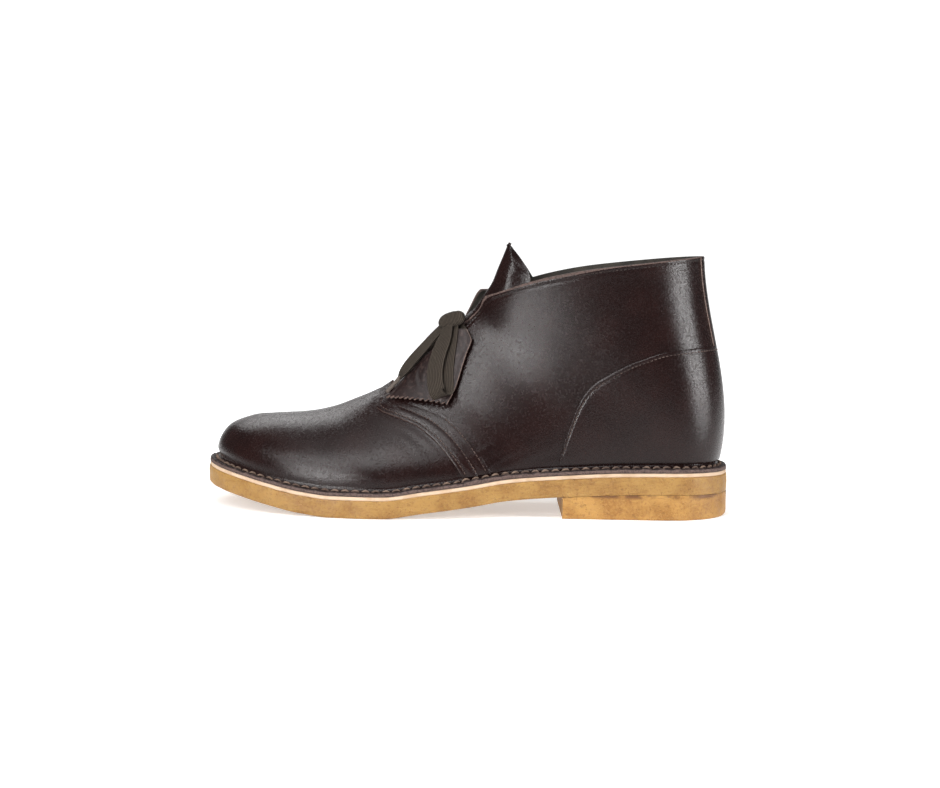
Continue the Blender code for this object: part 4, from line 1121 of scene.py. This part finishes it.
def make_quarter(name, side):
    """Side of the boot from the vamp seam to the back seam, with the throat's facing and the collar."""
    steps = np.concatenate([[0.0, 0.0006, 0.002, 0.0045], np.linspace(0.008, 1.0, QUARTER_STEPS[0])])
    columns = SEAM_ROW + (HEEL_ROW - SEAM_ROW) * steps
    foot = skewed(at_side(columns, side), 0.0)
    outer, inner = flange_rows(foot, quarter_lift(foot))
    face, height, lining, rows, levels = [], [], [], [], []
    for share in np.concatenate([np.linspace(0.0, 0.985, QUARTER_STEPS[1]), [0.9905, 0.995, 0.998, 1.0]]):
        level = share * top_level(columns, side)
        for _ in range(6):
            at = skewed(at_side(columns, side), level)
            level = share * top_level(row_of(at), side)
        at = skewed(at_side(columns, side), level)
        face.append(wall_point(at, level))
        height.append(wall_normal(at, level) * quarter_relief(at, level)[:, None])
        lining.append(offset_wall(at, level, -WALL))
        rows.append(row_of(at))
        levels.append(level)
    rows, levels = np.stack(rows), np.stack(levels)
    flare = np.zeros(rows.shape + (3,))
    if side < 0:
        below = (levels[-1] - levels) * millimetres_per_level(rows, levels)
        share = bump(rows, CORNER_ROW, CORNER_ROWS) * bump(below, 0.0, CORNER_DEPTH)
        flare += share[..., None] * CORNER_FLARE
    outer += list(eased(rows, levels, np.stack(face)) + np.stack(height) + flare)
    inner += list(np.stack(lining) + flare)
    slots = np.repeat(upper_slots(len(outer) - 1, rim=2)[:, None], len(columns) - 1, axis=1)
    return sheet_solid(name, np.stack(outer), np.stack(inner), UPPER_LOOKS, slots=slots)


def counter_level(place):
    """Level of the counter's upper edge at a loop place."""
    return monotone(COUNTER["row"], COUNTER["level"], row_of(place))


def make_counter():
    """Leather patch round the heel, sewn over the quarters."""
    first = COUNTER["row"][0]
    places = np.linspace(first, LOOP_ROWS - first, COUNTER_STEPS[0])
    ends = np.minimum(places - first, LOOP_ROWS - first - places) * 18.0
    top = counter_level(places)
    shares = np.concatenate([[0.0, 0.006], np.linspace(0.02, 0.975, COUNTER_STEPS[1]), [0.985, 0.993, 1.0]])
    outer, inner = [], []
    for share in shares:
        level = COUNTER_FOOT_LEVEL + (top - COUNTER_FOOT_LEVEL) * share
        edge = np.minimum((top - level) * millimetres_per_level(places, level), ends)
        sunk = groove(edge, EDGE_STITCH, COUNTER_SEAM) + groove(edge, 0.0, COUNTER_RIM)
        foot = quarter_relief(places, level)
        outer.append(offset_wall(places, level, foot + COUNTER_LIFT - sunk * MM))
        inner.append(offset_wall(places, level, foot - 0.2 * MM))
    return sheet_solid("heel_counter_cover", np.stack(outer), np.stack(inner), COUNTER_LOOKS)


def make_strip():
    """Leather strip down the back seam."""
    across = np.concatenate([[-1, -0.985, -0.95], np.linspace(-0.9, 0.9, 17), [0.95, 0.985, 1]])
    places = HEEL_ROW + STRIP_ROWS * across
    foot = float(counter_level(HEEL_ROW)) - 0.01
    outer, inner = [], []
    for level in np.concatenate([np.linspace(foot, 0.994, 60), [0.998, 1.0]]):
        v = np.full(len(places), level)
        edge = (1 - np.abs(across)) * STRIP_ROWS * float(millimetres_per_row(HEEL_ROW, level))
        sunk = groove(edge, STRIP_STITCH, STRIP_SEAM) + groove(edge, 0.0, STRIP_RIM)
        lift = quarter_relief(places, v)
        outer.append(offset_wall(places, v, lift + STRIP_THICKNESS * 0.9 - sunk * MM))
        inner.append(offset_wall(places, v, lift - 0.3 * MM))
    return sheet_solid("back_strip_cover", np.stack(outer), np.stack(inner), STRIP_LOOKS)


def along_table(table, count):
    """Columns of a table read smoothly at count even places."""
    keys = np.arange(len(next(iter(table.values()))), dtype=float)
    at = np.linspace(0.0, keys[-1], count)
    return {name: monotone(keys, values, at) for name, values in table.items()}


TONGUE_SMOOTHING = 6
TONGUE_EASE = 0.0004
TONGUE_SUNK = 0.0014
TONGUE_TUCK = 0.0044
TONGUE_TIP_ROUND = 0.0020
TONGUE_TIP_FULLER = 0.0026


def make_tongue():
    """Tongue under the throat, free above the collar, with a soft fold down its outer half."""
    share = np.concatenate([[-1.0, -0.985], np.linspace(-0.95, 0.95, TONGUE_STEPS[1]), [0.985, 1.0]])
    sides = np.where(share >= 0, 1, -1)
    fold = 0.7 * bump(share, 0.46, 0.12) - 0.7 * bump(share, 0.68, 0.14)
    rows = []
    for row, beyond, back, half, curl in zip(*along_table(TONGUE, TONGUE_STEPS[0]).values()):
        half = half + TONGUE_TIP_FULLER * bump(beyond, 0.037, 0.0042)
        level = np.array([level_at_width(row, abs(part) * half, side) for part, side in zip(share, sides)])
        sunk = TONGUE_SUNK * ramp(row, 9.6, 10.6) * (1 - ramp(beyond, 0.004, 0.012))
        depth = WALL + CLEARANCE + TONGUE_EASE * (1 + np.abs(share)) + sunk
        points = offset_wall(np.where(sides > 0, row, LOOP_ROWS - row), level, -depth)
        free = min(1.0, beyond / 0.012)
        points[:, 0] -= back + curl * share**2 + free * fold * 0.9 * MM
        points[:, 1] -= free * TONGUE_TUCK * ramp(share, 0.42, 1.0)
        points[:, 2] += beyond - TONGUE_TIP_ROUND * ramp(beyond, 0.036, 0.0422) * share**2
        rows.append(points)
    outer = softened(np.array(rows), TONGUE_SMOOTHING)
    inward = np.cross(np.gradient(outer, axis=0), np.gradient(outer, axis=1))
    for _ in range(TONGUE_SMOOTHING):
        softened(inward)
        softened(inward.swapaxes(0, 1))
        inward[-1], inward[:, 0], inward[:, -1] = inward[-2], inward[:, 1], inward[:, -2]
        inward = unit(inward)
    return sheet_solid("tongue_leather", outer, outer + inward * TONGUE_THICKNESS, STRIP_LOOKS)


FOB_TEETH = 12
FOB_TOOTH_DEPTH = 0.0014
FOB_ARCH = 0.0006
FOB_ROWS = 64
# Width and length of the tag, in millimetres, for its seams and wrinkles
FOB_WIDE = 24.0
FOB_LONG = 48.0
# Light wrinkles on the tag: share across, share down, half length, half width and depth in millimetres
FOB_WRINKLES = ((0.22, 0.60, 6.0, 0.7, 0.30), (0.30, 0.70, 7.0, 0.8, 0.26), (0.16, 0.72, 5.0, 0.7, 0.24),
                (0.40, 0.66, 6.0, 0.8, 0.22), (0.70, 0.45, 5.0, 0.9, 0.20))


def make_fob():
    """Leather tag that lies on the throat under the knot, with a pinked lower edge."""
    table = along_table(FOB, FOB_ROWS)
    shares = np.linspace(0.0, 1.0, 8 * FOB_TEETH + 1)
    downs = np.linspace(0.0, 1.0, FOB_ROWS)
    front = np.empty((FOB_ROWS, len(shares), 3))
    normals = np.empty_like(front)
    for k, share in enumerate(shares):
        row, level, lift = (table["left_" + name] * (1 - share) + table["right_" + name] * share
                            for name in ("row", "level", "lift"))
        relief = -0.18 * bump(share * FOB_WIDE, 1.4, 0.5) - 0.18 * bump((1 - share) * FOB_WIDE, 1.4, 0.5)
        for across, down, long, wide, depth in FOB_WRINKLES:
            aside = (share - across) * FOB_WIDE
            below = (downs - down) * FOB_LONG
            relief = relief + depth * bump(aside + below * 0.9, 0, long) * bump(aside - below * 0.55, 0, wide)
        normals[:, k] = wall_normal(row, level)
        lift = lift + FOB_ARCH * 4 * share * (1 - share)
        front[:, k] = offset_wall(row, level, lift + quarter_lift(row) + relief * MM)
    teeth = unit(front[-1] - front[-3]) * (0.5 + 0.5 * np.cos(2 * math.pi * shares * FOB_TEETH))[:, None]
    front[-1] += teeth * FOB_TOOTH_DEPTH
    front[-2] += teeth * FOB_TOOTH_DEPTH * 0.35
    return sheet_solid("tag", front + normals * FOB_THICKNESS, front, (TAG_LEATHER, EDGE, EDGE, LINING))


# Laces

LACE_WIDTH = 0.0082
LACE_THICKNESS = 0.0013
LOOP_WIDTH = 0.0094
TIP_RADIUS = 0.0012
TIP_OVERLAP = 0.0030
FAR_LOOP_DROP = 0.0028
FAR_END_DROP = 0.0032
FAR_TIP_DROP = 0.0024
# Middle line of the near loop from the knot down, of the near end, and of its tip. The end and the
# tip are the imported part's, and the loop's lower end is a little higher.
LOOP = by_column(
    "row level lift spread",
    (10.45, 0.835, 0.0060, 0.0010),
    (10.22, 0.781, 0.0062, 0.0012),
    (10.09, 0.763, 0.0060, 0.0016),
    (9.77, 0.711, 0.0058, 0.0026),
    (9.43, 0.640, 0.0058, 0.0029),
    (9.19, 0.570, 0.0058, 0.0024),
)
END = by_column(
    "row level lift width",
    (10.40, 0.870, 0.0058, 0.0050),
    (10.05, 0.880, 0.0062, 0.0064),
    (9.72, 0.874, 0.0060, 0.0080),
    (9.27, 0.862, 0.0060, 0.0082),
    (8.90, 0.830, 0.0056, 0.0070),
    (8.69, 0.803, 0.0053, 0.0030),
    (8.62, 0.797, 0.0052, 0.0019),
    (8.08, 0.749, 0.0043, 0.0018),
)
TIP = by_column(
    "row level lift",
    (8.655, 0.800, 0.0052),
    (8.02, 0.744, 0.0042),
)
KNOT = (
    (10.28, 0.895, 0.0074),
    (10.75, 0.812, 0.0056),
)
# How far inside its eyelet's middle a crossing dips into the leather
BAR_SHY = 0.0032
BAR_THICKNESS = 0.0011
BAR_LIFT = 0.0014
BAR_WIDTH = 0.0056
# End of a crossing: share of the way out to the eyelet, lift over the leather, and width
BAR_END = ((1.0, -0.0030, 0.0034), (1.0, -0.0006, 0.0034), (0.97, 0.0009, 0.0038))
# Half the gap between a loop's two layers, and how far it reaches round its lower end
LOOP_HALF_GAP = 0.0013
LOOP_TURN = 0.0026
# Outline of a lace tip: share of its length and share of its radius
TIP_PROFILE = (
    (0.0, 0.72), (0.012, 0.94), (0.04, 1.0), (0.30, 1.0), (0.33, 0.93), (0.36, 1.0), (0.64, 1.0),
    (0.67, 0.93), (0.70, 1.0), (0.955, 1.0), (0.985, 0.92), (1.0, 0.70),
)
TIP_SIDES = 20
KNOT_RINGS = 41
KNOT_SIDES = 48
KNOT_MAP_STEP = 0.065
KNOT_WIDTH = 0.0095
KNOT_THICKNESS = 0.0072


def surface(row, level, lift, side=1):
    """Points and outward normals on the leather's outer face, raised by lift."""
    at = np.asarray(at_side(np.asarray(row, float), side))
    raised = np.where(row_of(at) < SEAM_ROW, 0.0, quarter_lift(at)) + lift
    return offset_wall(at, level, raised), wall_normal(at, level)


def rounded(values, passes=3):
    """Course with its corners cut, ends kept."""
    values = np.asarray(values, float)
    for _ in range(passes):
        first = values[:-1] * 0.75 + values[1:] * 0.25
        second = values[:-1] * 0.25 + values[1:] * 0.75
        inner = np.stack([first, second], axis=1).reshape(-1, values.shape[1])
        values = np.concatenate([values[:1], inner, values[-1:]])
    return values


def even_course(points, normals, sizes, passes=0):
    """Course with its corners cut, read at even steps: points, normals, sizes and whole length."""
    course = rounded(np.column_stack([points, normals, sizes]), passes)
    lengths = lengths_along(course[:, :3])
    wanted = np.linspace(0.0, lengths[-1], max(8, int(lengths[-1] / LACE_STEP)))
    course = read_at(wanted, lengths, course)
    return course[:, :3], course[:, 3:6], course[:, 6], lengths[-1]


SECTION_STEPS = 22
LACE_STEP = 0.0008


def ribbon_mesh(name, points, normals, widths, thickness=LACE_THICKNESS, cup=0.0):
    """Flat lace along points, with a map across and along it. cup bows its face."""
    tangents = unit(np.gradient(points, axis=0))
    across = unit(np.cross(tangents, normals))
    upward = np.cross(across, tangents)
    turn = np.linspace(0.0, 2 * math.pi, SECTION_STEPS, endpoint=False)
    flat_x = np.sign(np.cos(turn)) * np.abs(np.cos(turn)) ** 0.75 * 0.5
    flat_y = np.sign(np.sin(turn)) * np.abs(np.sin(turn)) ** 0.55 * 0.5
    squeeze = np.clip(widths / LACE_WIDTH, 0.35, 1.0)
    thick = thickness * (1.0 + 0.9 * (1 - squeeze))
    rise = np.outer(thick, flat_y) + np.outer(widths, cup * (1 - (2 * flat_x) ** 2))
    rings = points[:, None] + across[:, None] * np.outer(widths, flat_x)[..., None]
    rings = rings + upward[:, None] * rise[..., None]
    along = lengths_along(points) / LACE_WIDTH
    faces = tube_faces(SECTION_STEPS, len(points))
    uvs = [(flat_x[p % SECTION_STEPS] + 0.5, along[p // SECTION_STEPS]) for face in faces[:-2] for p in face]
    uvs += [(x + 0.5, 0.0) for _ in range(2) for x in flat_x]
    return mesh_object(name, rings.reshape(-1, 3), faces, (LACE_LOOK,), loops_uv=uvs, sharp=60)


def make_loop(name, side, drop):
    """Loop of the bow: the lace goes down on top, turns over and comes back beneath, a little to the side."""
    points, normals = surface(LOOP["row"], LOOP["level"], LOOP["lift"] - drop, side)
    points, normals, spread, _ = even_course(points, normals, LOOP["spread"], 2)
    tangents = unit(np.gradient(points, axis=0))
    across = unit(np.cross(tangents, normals) * side)
    top = points + across * spread[:, None] + normals * LOOP_HALF_GAP
    under = points - across * spread[:, None] - normals * LOOP_HALF_GAP
    down, out, aside = tangents[-1], normals[-1], across[-1] * spread[-1]
    turn = np.linspace(0.0, math.pi, 15)[1:-1, None]
    hairpin = points[-1] + down * LOOP_TURN * np.sin(turn) + (out * LOOP_HALF_GAP + aside) * np.cos(turn)
    facing = out * np.cos(turn) + down * np.sin(turn)
    path = softened(np.concatenate([top, hairpin, under[::-1]]), 3)
    face = softened(np.concatenate([normals, facing, -normals[::-1]]), 3)
    path, face, _, total = even_course(path, face, np.zeros(len(path)))
    share = np.linspace(0.0, 1.0, len(path))
    widths = LOOP_WIDTH * (1.0 - 0.30 * bump(share, 0.0, 0.10) - 0.30 * bump(share, 1.0, 0.10))
    return ribbon_mesh(name, path, face, widths, cup=0.02), path, total


def make_end(name, side, drop):
    """Free end of the lace, from the knot into its tip."""
    points, normals = surface(END["row"], END["level"], END["lift"] - drop, side)
    points, normals, widths, total = even_course(points, normals, END["width"], 3)
    return ribbon_mesh(name, points, normals, widths, cup=-0.05), points, total


def make_tip(name, side, drop):
    """Crimped sheath on a lace's end."""
    (start, end), _ = surface(TIP["row"], TIP["level"], TIP["lift"] - drop, side)
    along = unit(end - start)
    start = start - along * TIP_OVERLAP * 0.3
    long = np.linalg.norm(end - start)
    turn = np.linspace(0.0, 2 * math.pi, TIP_SIDES, endpoint=False)[:, None]
    first = unit(np.cross(along, (0.0, 0.0, 1.0)))
    ring = (first * np.cos(turn) + np.cross(along, first) * np.sin(turn)) * TIP_RADIUS
    rings = np.concatenate([start + along * share * long + ring * size for share, size in TIP_PROFILE])
    return mesh_object(name, rings, tube_faces(TIP_SIDES, len(TIP_PROFILE)), (TIP_LOOK,), sharp=40)


def make_knot():
    """Knot of the bow: one turn of lace wrapped over the bundle."""
    (start, first_normal), (end, last_normal) = (surface(*place) for place in KNOT)
    along = unit(end - start)
    across = unit(np.cross(along, unit(first_normal + last_normal)))
    upward = np.cross(across, along)
    half = np.linalg.norm(end - start) / 2
    shares = np.linspace(-1.0, 1.0, KNOT_RINGS)
    turn = np.linspace(0.0, 2 * math.pi, KNOT_SIDES, endpoint=False)[:, None]
    rings = []
    for share in shares:
        swell = math.sqrt(max(0.02, 1.0 - 0.86 * abs(share) ** 3.2)) * (1.0 - 0.05 * bump(share, 0.45, 0.09))
        size = swell * (1.0 + 0.03 * np.sin(3 * turn + 2 * share) + 0.015 * np.sin(5 * turn - 3 * share)) / 2
        rings.append((start + end) / 2 + along * share * half + across * np.cos(turn) * size * KNOT_WIDTH
                     + upward * np.sin(turn) * size * KNOT_THICKNESS)
    faces = tube_faces(KNOT_SIDES, KNOT_RINGS)
    across_lace = shares * half / LACE_WIDTH + 1
    uvs = []
    for r in range(KNOT_RINGS - 1):
        u0, u1 = across_lace[r:r + 2]
        for v in np.arange(KNOT_SIDES) * KNOT_MAP_STEP:
            uvs += [(u0, v), (u0, v + KNOT_MAP_STEP), (u1, v + KNOT_MAP_STEP), (u1, v)]
    uvs += [(0.0, 0.0)] * (2 * KNOT_SIDES)
    return mesh_object("knot", np.concatenate(rings), faces, (LACE_LOOK,), loops_uv=uvs)


def make_bar(name, row):
    """Lace across the throat, down through the eyelet at each end."""
    ridge = wall_point(row, 1.0)
    reach = float(throat_half_width(ridge[0])) + EYELET_FROM_EDGE - BAR_SHY
    ends = np.array(BAR_END)
    middle = [(share, BAR_LIFT, BAR_WIDTH) for share in np.linspace(0.9, -0.9, 19)]
    course = np.concatenate([ends, middle, ends[::-1] * (-1.0, 1.0, 1.0)])
    points, normals = [], []
    for share, lift, _ in course:
        side = 1 if share >= 0 else -1
        point, normal = surface(row, level_at_width(row, abs(share) * reach, side), lift, side)
        points.append(point)
        normals.append(normal)
    points, normals, widths, _ = even_course(points, normals, course[:, 2], 2)
    return ribbon_mesh(name, points, softened(normals, 8), widths, thickness=BAR_THICKNESS)


# Sole

SOLE_COLUMNS = 760
SOLE_PLACES = np.arange(SOLE_COLUMNS) * LOOP_ROWS / SOLE_COLUMNS
HEEL_BREAST = from_middle(HEEL_BREAST_AT)
# Side of the crepe sole: inset from the outline and height over its underside, in millimetres
OUTSOLE_PROFILE = (
    (2.6, 0.0), (1.5, 0.04), (0.85, 0.22), (0.40, 0.60), (0.14, 1.20), (0.02, 2.2), (0.0, 3.6), (-0.04, 5.2),
    (0.0, 6.8), (0.04, 8.2), (0.16, 9.4), (0.30, 9.95), (0.60, 10.18),
)
MIDSOLE_PROFILE = (
    (1.4, 0.0), (0.10, 0.05), (-0.06, 0.35), (-0.10, 0.95), (-0.04, 1.6), (0.12, 2.1), (1.0, 2.28),
)
HEEL_PROFILE = ((2.6, 0.0), (1.6, 0.04), (0.85, 0.30), (0.35, 0.90), (0.08, 1.9), (0.0, 3.0))
# Upper part of the heel block: inset in millimetres and share of the way up to the outsole
HEEL_TOP_PROFILE = ((0.0, 0.45), (0.0, 0.80), (0.02, 0.96), (0.05, 1.0))
HEEL_BACK_BEVEL = 0.0030


def sole_ring(inset, height):
    """Points round the sole's outline moved inwards, at a height above the underside of the outsole."""
    plan = plan_of(SOLE_PLACES, inset)
    return np.column_stack([plan, sole_lift(plan[:, 0]) + height])


def ring_stack(name, rings, look):
    """Closed solid through rings of equal length round the sole."""
    count = len(rings[0])
    half = count // 2
    faces = ring_faces(count, len(rings))
    for base in (0, (len(rings) - 1) * count):
        faces.append([base, base + 1, base + count - 1])
        faces += [[base + j, base + j + 1, base + count - j - 1, base + count - j]
                  for j in range(1, half - 1)]
        faces.append([base + half - 1, base + half, base + half + 1])
    return weld(mesh_object(name, np.concatenate(rings), faces, (look,)), SOLE_ANGLE)


def make_outsole():
    """Crepe sole, with a rounded lower edge before the heel's breast and a sharp one over the heel."""
    rings = []
    over_heel = 1 - ramp(plan_of(SOLE_PLACES)[:, 0], HEEL_BREAST - 0.001, HEEL_BREAST + 0.001)
    for k, (inset, height) in enumerate(OUTSOLE_PROFILE):
        uneven = wavy(SOLE_PLACES, 20 + k // 4, 60, 0.07)
        kept = inset * (1 - 0.88 * over_heel * (height < 2.0))
        rings.append(sole_ring((kept + uneven) * MM, height * MM))
    return ring_stack("crepe_sole", rings, CREPE)


def make_midsole():
    """Pale layer between the crepe sole and the flange."""
    uneven = wavy(SOLE_PLACES, 31, 80, 0.06)
    rings = [sole_ring(MIDSOLE_INSET + (inset + uneven) * MM, OUTSOLE_THICKNESS + height * MM)
             for inset, height in MIDSOLE_PROFILE]
    return ring_stack("midsole_layer", rings, MIDSOLE_LOOK)


def make_heel():
    """Crepe block under the back of the outsole, with an upright breast."""
    ends = []
    for first, last in ((SEAM_ROW, HEEL_ROW - 1), (LOOP_ROWS - SEAM_ROW, HEEL_ROW + 1)):
        places = np.linspace(first, last, 4001)
        ends.append(places[np.argmin(np.abs(plan_of(places)[:, 0] - HEEL_BREAST))])
    at = np.linspace(*ends, 420)
    count = len(at)
    back = np.sin(np.linspace(0.0, math.pi, count)) ** 2
    stretch = (SOLE_EDGE_ROUND + (HEEL_BACK_BEVEL - SOLE_EDGE_ROUND) * back) / HEEL_BACK_BEVEL
    bevel_top = HEEL_BACK_BEVEL * stretch
    lift = sole_lift(plan_of(at)[:, 0]) - bevel_top
    levels = [(inset, height * stretch * MM) for inset, height in HEEL_PROFILE]
    levels += [(inset, bevel_top + lift * share - 0.0001) for inset, share in HEEL_TOP_PROFILE]
    rings = []
    for k, (inset, z) in enumerate(levels):
        plan = plan_of(at, (inset * stretch + wavy(at, 40 + k // 3, 60, 0.06)) * MM)
        plan[[0, -1], 0] = HEEL_BREAST
        rings.append(np.column_stack([plan, z]))
    faces = ring_faces(count, len(rings))
    for base in (0, (len(rings) - 1) * count):
        faces += [[base + k, base + k + 1, base + count - k - 2, base + count - k - 1]
                  for k in range(count // 2 - 1)]
    return weld(mesh_object("crepe_heel_block", np.concatenate(rings), faces, (CREPE_HEEL,)), SOLE_ANGLE)


# Sewing

THREAD_LIFT = 0.0001
SEAM_PITCH = 0.0023
# Length and radius of the threads
FLANGE_THREAD_SIZE = (0.0050, 0.00072)
SEAM_THREAD_SIZE = (0.0017, 0.00026)
EDGE_THREAD_SIZE = (0.0017, 0.00024)
# Level that each seam row of the quarter's front reaches, and rows of the facing's and the collar's seam
SEAM_TOPS = (0.80, 0.66, 0.46)
FACING_SEAM_ROWS = (8.35, 11.3)
COLLAR_SEAM_ROWS = (11.9, 16.7)


def sew():
    """All visible seams, as threads on the leather."""
    places = np.linspace(0.02, LOOP_ROWS - 0.02, 1400)
    plan = plan_of(places, FLANGE_STITCH_INSET)
    lift = np.where(row_of(places) < SEAM_ROW, 0.0, quarter_lift(places)) * 0.6
    line = np.column_stack([plan, bed(plan[:, 0]) + CLEARANCE + WALL + lift - THREAD_LIFT])
    up = np.tile((0.0, 0.0, 1.0), (len(line), 1))
    stitches("flange_stitches", [(line, up)], FLANGE_THREAD, FLANGE_PITCH, *FLANGE_THREAD_SIZE, slant=0.26)
    seam_lines, edge_lines = [], []

    def quarter_seam(lines, at, level):
        lines.append(leather_line(at, level, quarter_relief(at, level) + THREAD_LIFT))

    levels = np.linspace(0.02, 0.80, 240)
    for side in (1, -1):
        for k, top in enumerate(SEAM_TOPS):
            v = levels[levels < top]
            row = SEAM_ROW + seam_shift(v)
            behind = (EDGE_STITCH + k * SEAM_ROW_GAP) / millimetres_per_row(at_side(row, side), v)
            quarter_seam(seam_lines, at_side(row + behind, side), v)
        at = at_side(np.linspace(*FACING_SEAM_ROWS, 160), side)
        top = top_level(row_of(at), side)
        quarter_seam(edge_lines, at, top - EDGE_STITCH / millimetres_per_level(at, top))
        at = at_side(np.linspace(*COLLAR_SEAM_ROWS, 240), side)
        quarter_seam(edge_lines, at, 1.0 - EDGE_STITCH / millimetres_per_level(at, 0.99))
    first = COUNTER["row"][0] + 0.15
    places = np.linspace(first, LOOP_ROWS - first, 500)
    top = counter_level(places)
    v = np.maximum(top - EDGE_STITCH / millimetres_per_level(places, top), COUNTER_FOOT_LEVEL)
    seam_lines.append(leather_line(places, v, quarter_relief(places, v) + COUNTER_LIFT - 0.16 * MM))
    stitches("panel_stitches", seam_lines, SEAM_THREAD, SEAM_PITCH, *SEAM_THREAD_SIZE)
    stitches("edge_stitches", edge_lines, DARK_THREAD, SEAM_PITCH, *EDGE_THREAD_SIZE)


# Everything


def make_all():
    """Every piece of the boot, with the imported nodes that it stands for."""
    settle(make_vamp(), ("upper",))
    for name, side in (("quarter_outer", 1), ("quarter_inner", -1)):
        settle(make_quarter(name, side), ("upper",))
    for make, node, slot in (
        (make_counter, "heel_counter", "leather"), (make_strip, "back_strip", "leather"),
        (make_tongue, "tongue", "leather"), (make_fob, "fob", "leather"), (make_outsole, "outsole", "crepe"),
        (make_heel, "heel", "crepe_heel"), (make_midsole, "midsole", "midsole_edge"),
    ):
        settle(make(), (node,))
    for name, row in zip(("low", "high"), EYELET_ROWS):
        settle(make_bar("lace_crossing_" + name, row), ("lace_bar_" + name,))
    settle(make_knot(), ("lace_knot",))
    for half, side, far in (("near", 1, 0.0), ("far", -1, 1.0)):
        loop, path, length = make_loop(f"bow_{half}_loop", side, far * FAR_LOOP_DROP)
        settle(loop, (f"lace_{half}_loop",))
        end, path, length = make_end(f"bow_{half}_end", side, far * FAR_END_DROP)
        settle(end, (f"lace_{half}_end",))
        tip = settle(make_tip(f"bow_{half}_tip", side, far * FAR_TIP_DROP), (f"lace_{half}_tip",))
    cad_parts["insole"].material_slots[0].material = INSOLE
    sew()


# Camera, light and floor

IMAGE_WIDTH = 940
FOCAL_PIXELS = 1916.5
CAMERA_AT = Vector((0.0, 1.1, 0.1777))
LOOKS_AT = Vector((0.0, 0.0, 0.0657))
CAMERA_ROLL = 1.25
CENTRE_PIXEL = 468.8
SENSOR = 36.0


def make_camera():
    """Camera that stands where the photograph was taken from."""
    data = bpy.data.cameras.new("camera")
    data.sensor_width = SENSOR
    data.lens = FOCAL_PIXELS * SENSOR / IMAGE_WIDTH
    data.shift_x = (IMAGE_WIDTH / 2 - CENTRE_PIXEL) / IMAGE_WIDTH
    camera = add_object("camera", data)
    turn = (LOOKS_AT - CAMERA_AT).to_track_quat("-Z", "Y")
    roll = Matrix.Rotation(math.radians(CAMERA_ROLL), 4, "Z")
    camera.matrix_world = Matrix.Translation(CAMERA_AT) @ turn.to_matrix().to_4x4() @ roll
    bpy.context.scene.camera = camera


LIGHT_AIM = Vector((0.0, 0.0, 0.06))
# Softboxes: azimuth from the camera's side towards the toe and elevation in degrees, distance, width and
# height in metres, and power in watts
SOFTBOX_COLUMNS = ("name", "azimuth", "elevation", "distance", "width", "height", "power")
SOFTBOXES = (
    ("quarter_band", 29, 12, 1.9, 0.20, 0.95, 26),
    ("vamp_side", 40, 38, 1.8, 0.26, 0.26, 7),
    ("heel_side", -70, 11, 1.7, 0.13, 0.90, 21),
    ("front_top", 12, 56, 1.6, 1.10, 0.32, 11),
    ("back_top", 160, 42, 1.8, 1.10, 0.32, 8),
    ("overhead", 0, 84, 1.9, 1.30, 1.10, 7),
)
STUDIO_DIM = 0.10
BACKDROP_WHITE = 1.15
BACKDROP_EDGE = -0.80
BACKDROP_FULL = -0.95
FLOOR_SIDE = 1.6
FLOOR_BACK = -1.6
FLOOR_FRONT = 0.60
FLOOR_GLOW = 0.80
GLOW_START = 0.55
GLOW_FULL = -0.45


def softbox(name, azimuth, elevation, distance, width, height, power):
    """Rectangular soft light that faces the boot."""
    data = bpy.data.lights.new(name, "AREA")
    data.shape = "RECTANGLE"
    data.size = width
    data.size_y = height
    data.energy = power
    light = add_object(name, data)
    turn = math.radians(azimuth)
    rise = math.radians(elevation)
    away = Vector((math.sin(turn) * math.cos(rise), math.cos(turn) * math.cos(rise), math.sin(rise)))
    light.location = LIGHT_AIM + away * distance
    light.rotation_mode = "QUATERNION"
    light.rotation_quaternion = (-away).to_track_quat("-Z", "Y")


def make_world():
    """Dim studio with a white backdrop behind the boot."""
    world = bpy.data.worlds.new("studio")
    world.use_nodes = True
    tree = world.node_tree
    background = tree.nodes["Background"]
    background.inputs["Color"].default_value = (1.0, 1.0, 1.0, 1.0)
    direction = tree.nodes.new("ShaderNodeTexCoord")
    split = tree.nodes.new("ShaderNodeSeparateXYZ")
    share = tree.nodes.new("ShaderNodeMapRange")
    share.interpolation_type = "SMOOTHSTEP"
    share.inputs["From Min"].default_value = BACKDROP_EDGE
    share.inputs["From Max"].default_value = BACKDROP_FULL
    share.inputs["To Min"].default_value = STUDIO_DIM
    share.inputs["To Max"].default_value = BACKDROP_WHITE
    tree.links.new(direction.outputs["Generated"], split.inputs["Vector"])
    tree.links.new(split.outputs["Y"], share.inputs["Value"])
    tree.links.new(share.outputs["Result"], background.inputs["Strength"])
    bpy.context.scene.world = world


def make_floor():
    """Pale sheet that glows a little far behind the boot, as paper lit by the backdrop does."""
    sides = ((-1, FLOOR_BACK), (1, FLOOR_BACK), (1, FLOOR_FRONT), (-1, FLOOR_FRONT))
    corners = [(side * FLOOR_SIDE, y, 0.0) for side, y in sides]
    data = bpy.data.meshes.new("floor")
    data.from_pydata(corners, [], [(0, 1, 2, 3)])
    floor = add_object("floor", data)
    n = Nodes("floor", 0.9)
    n.set("Base Color", FLOOR_WHITE)
    n.set("Specular IOR Level", 0.0)
    n.set("Emission Color", (1.0, 1.0, 1.0))
    n.set("Emission Strength", n.band(n.upright()["Y"], GLOW_START, GLOW_FULL, 0.0, FLOOR_GLOW))
    data.materials.append(n.look)


def make_stage():
    """Floor, backdrop and softboxes of the photograph."""
    bpy.context.scene.view_settings.view_transform = "Standard"
    make_floor()
    make_world()
    for row in SOFTBOXES:
        softbox(**dict(zip(SOFTBOX_COLUMNS, row)))


make_all()
make_camera()
make_stage()
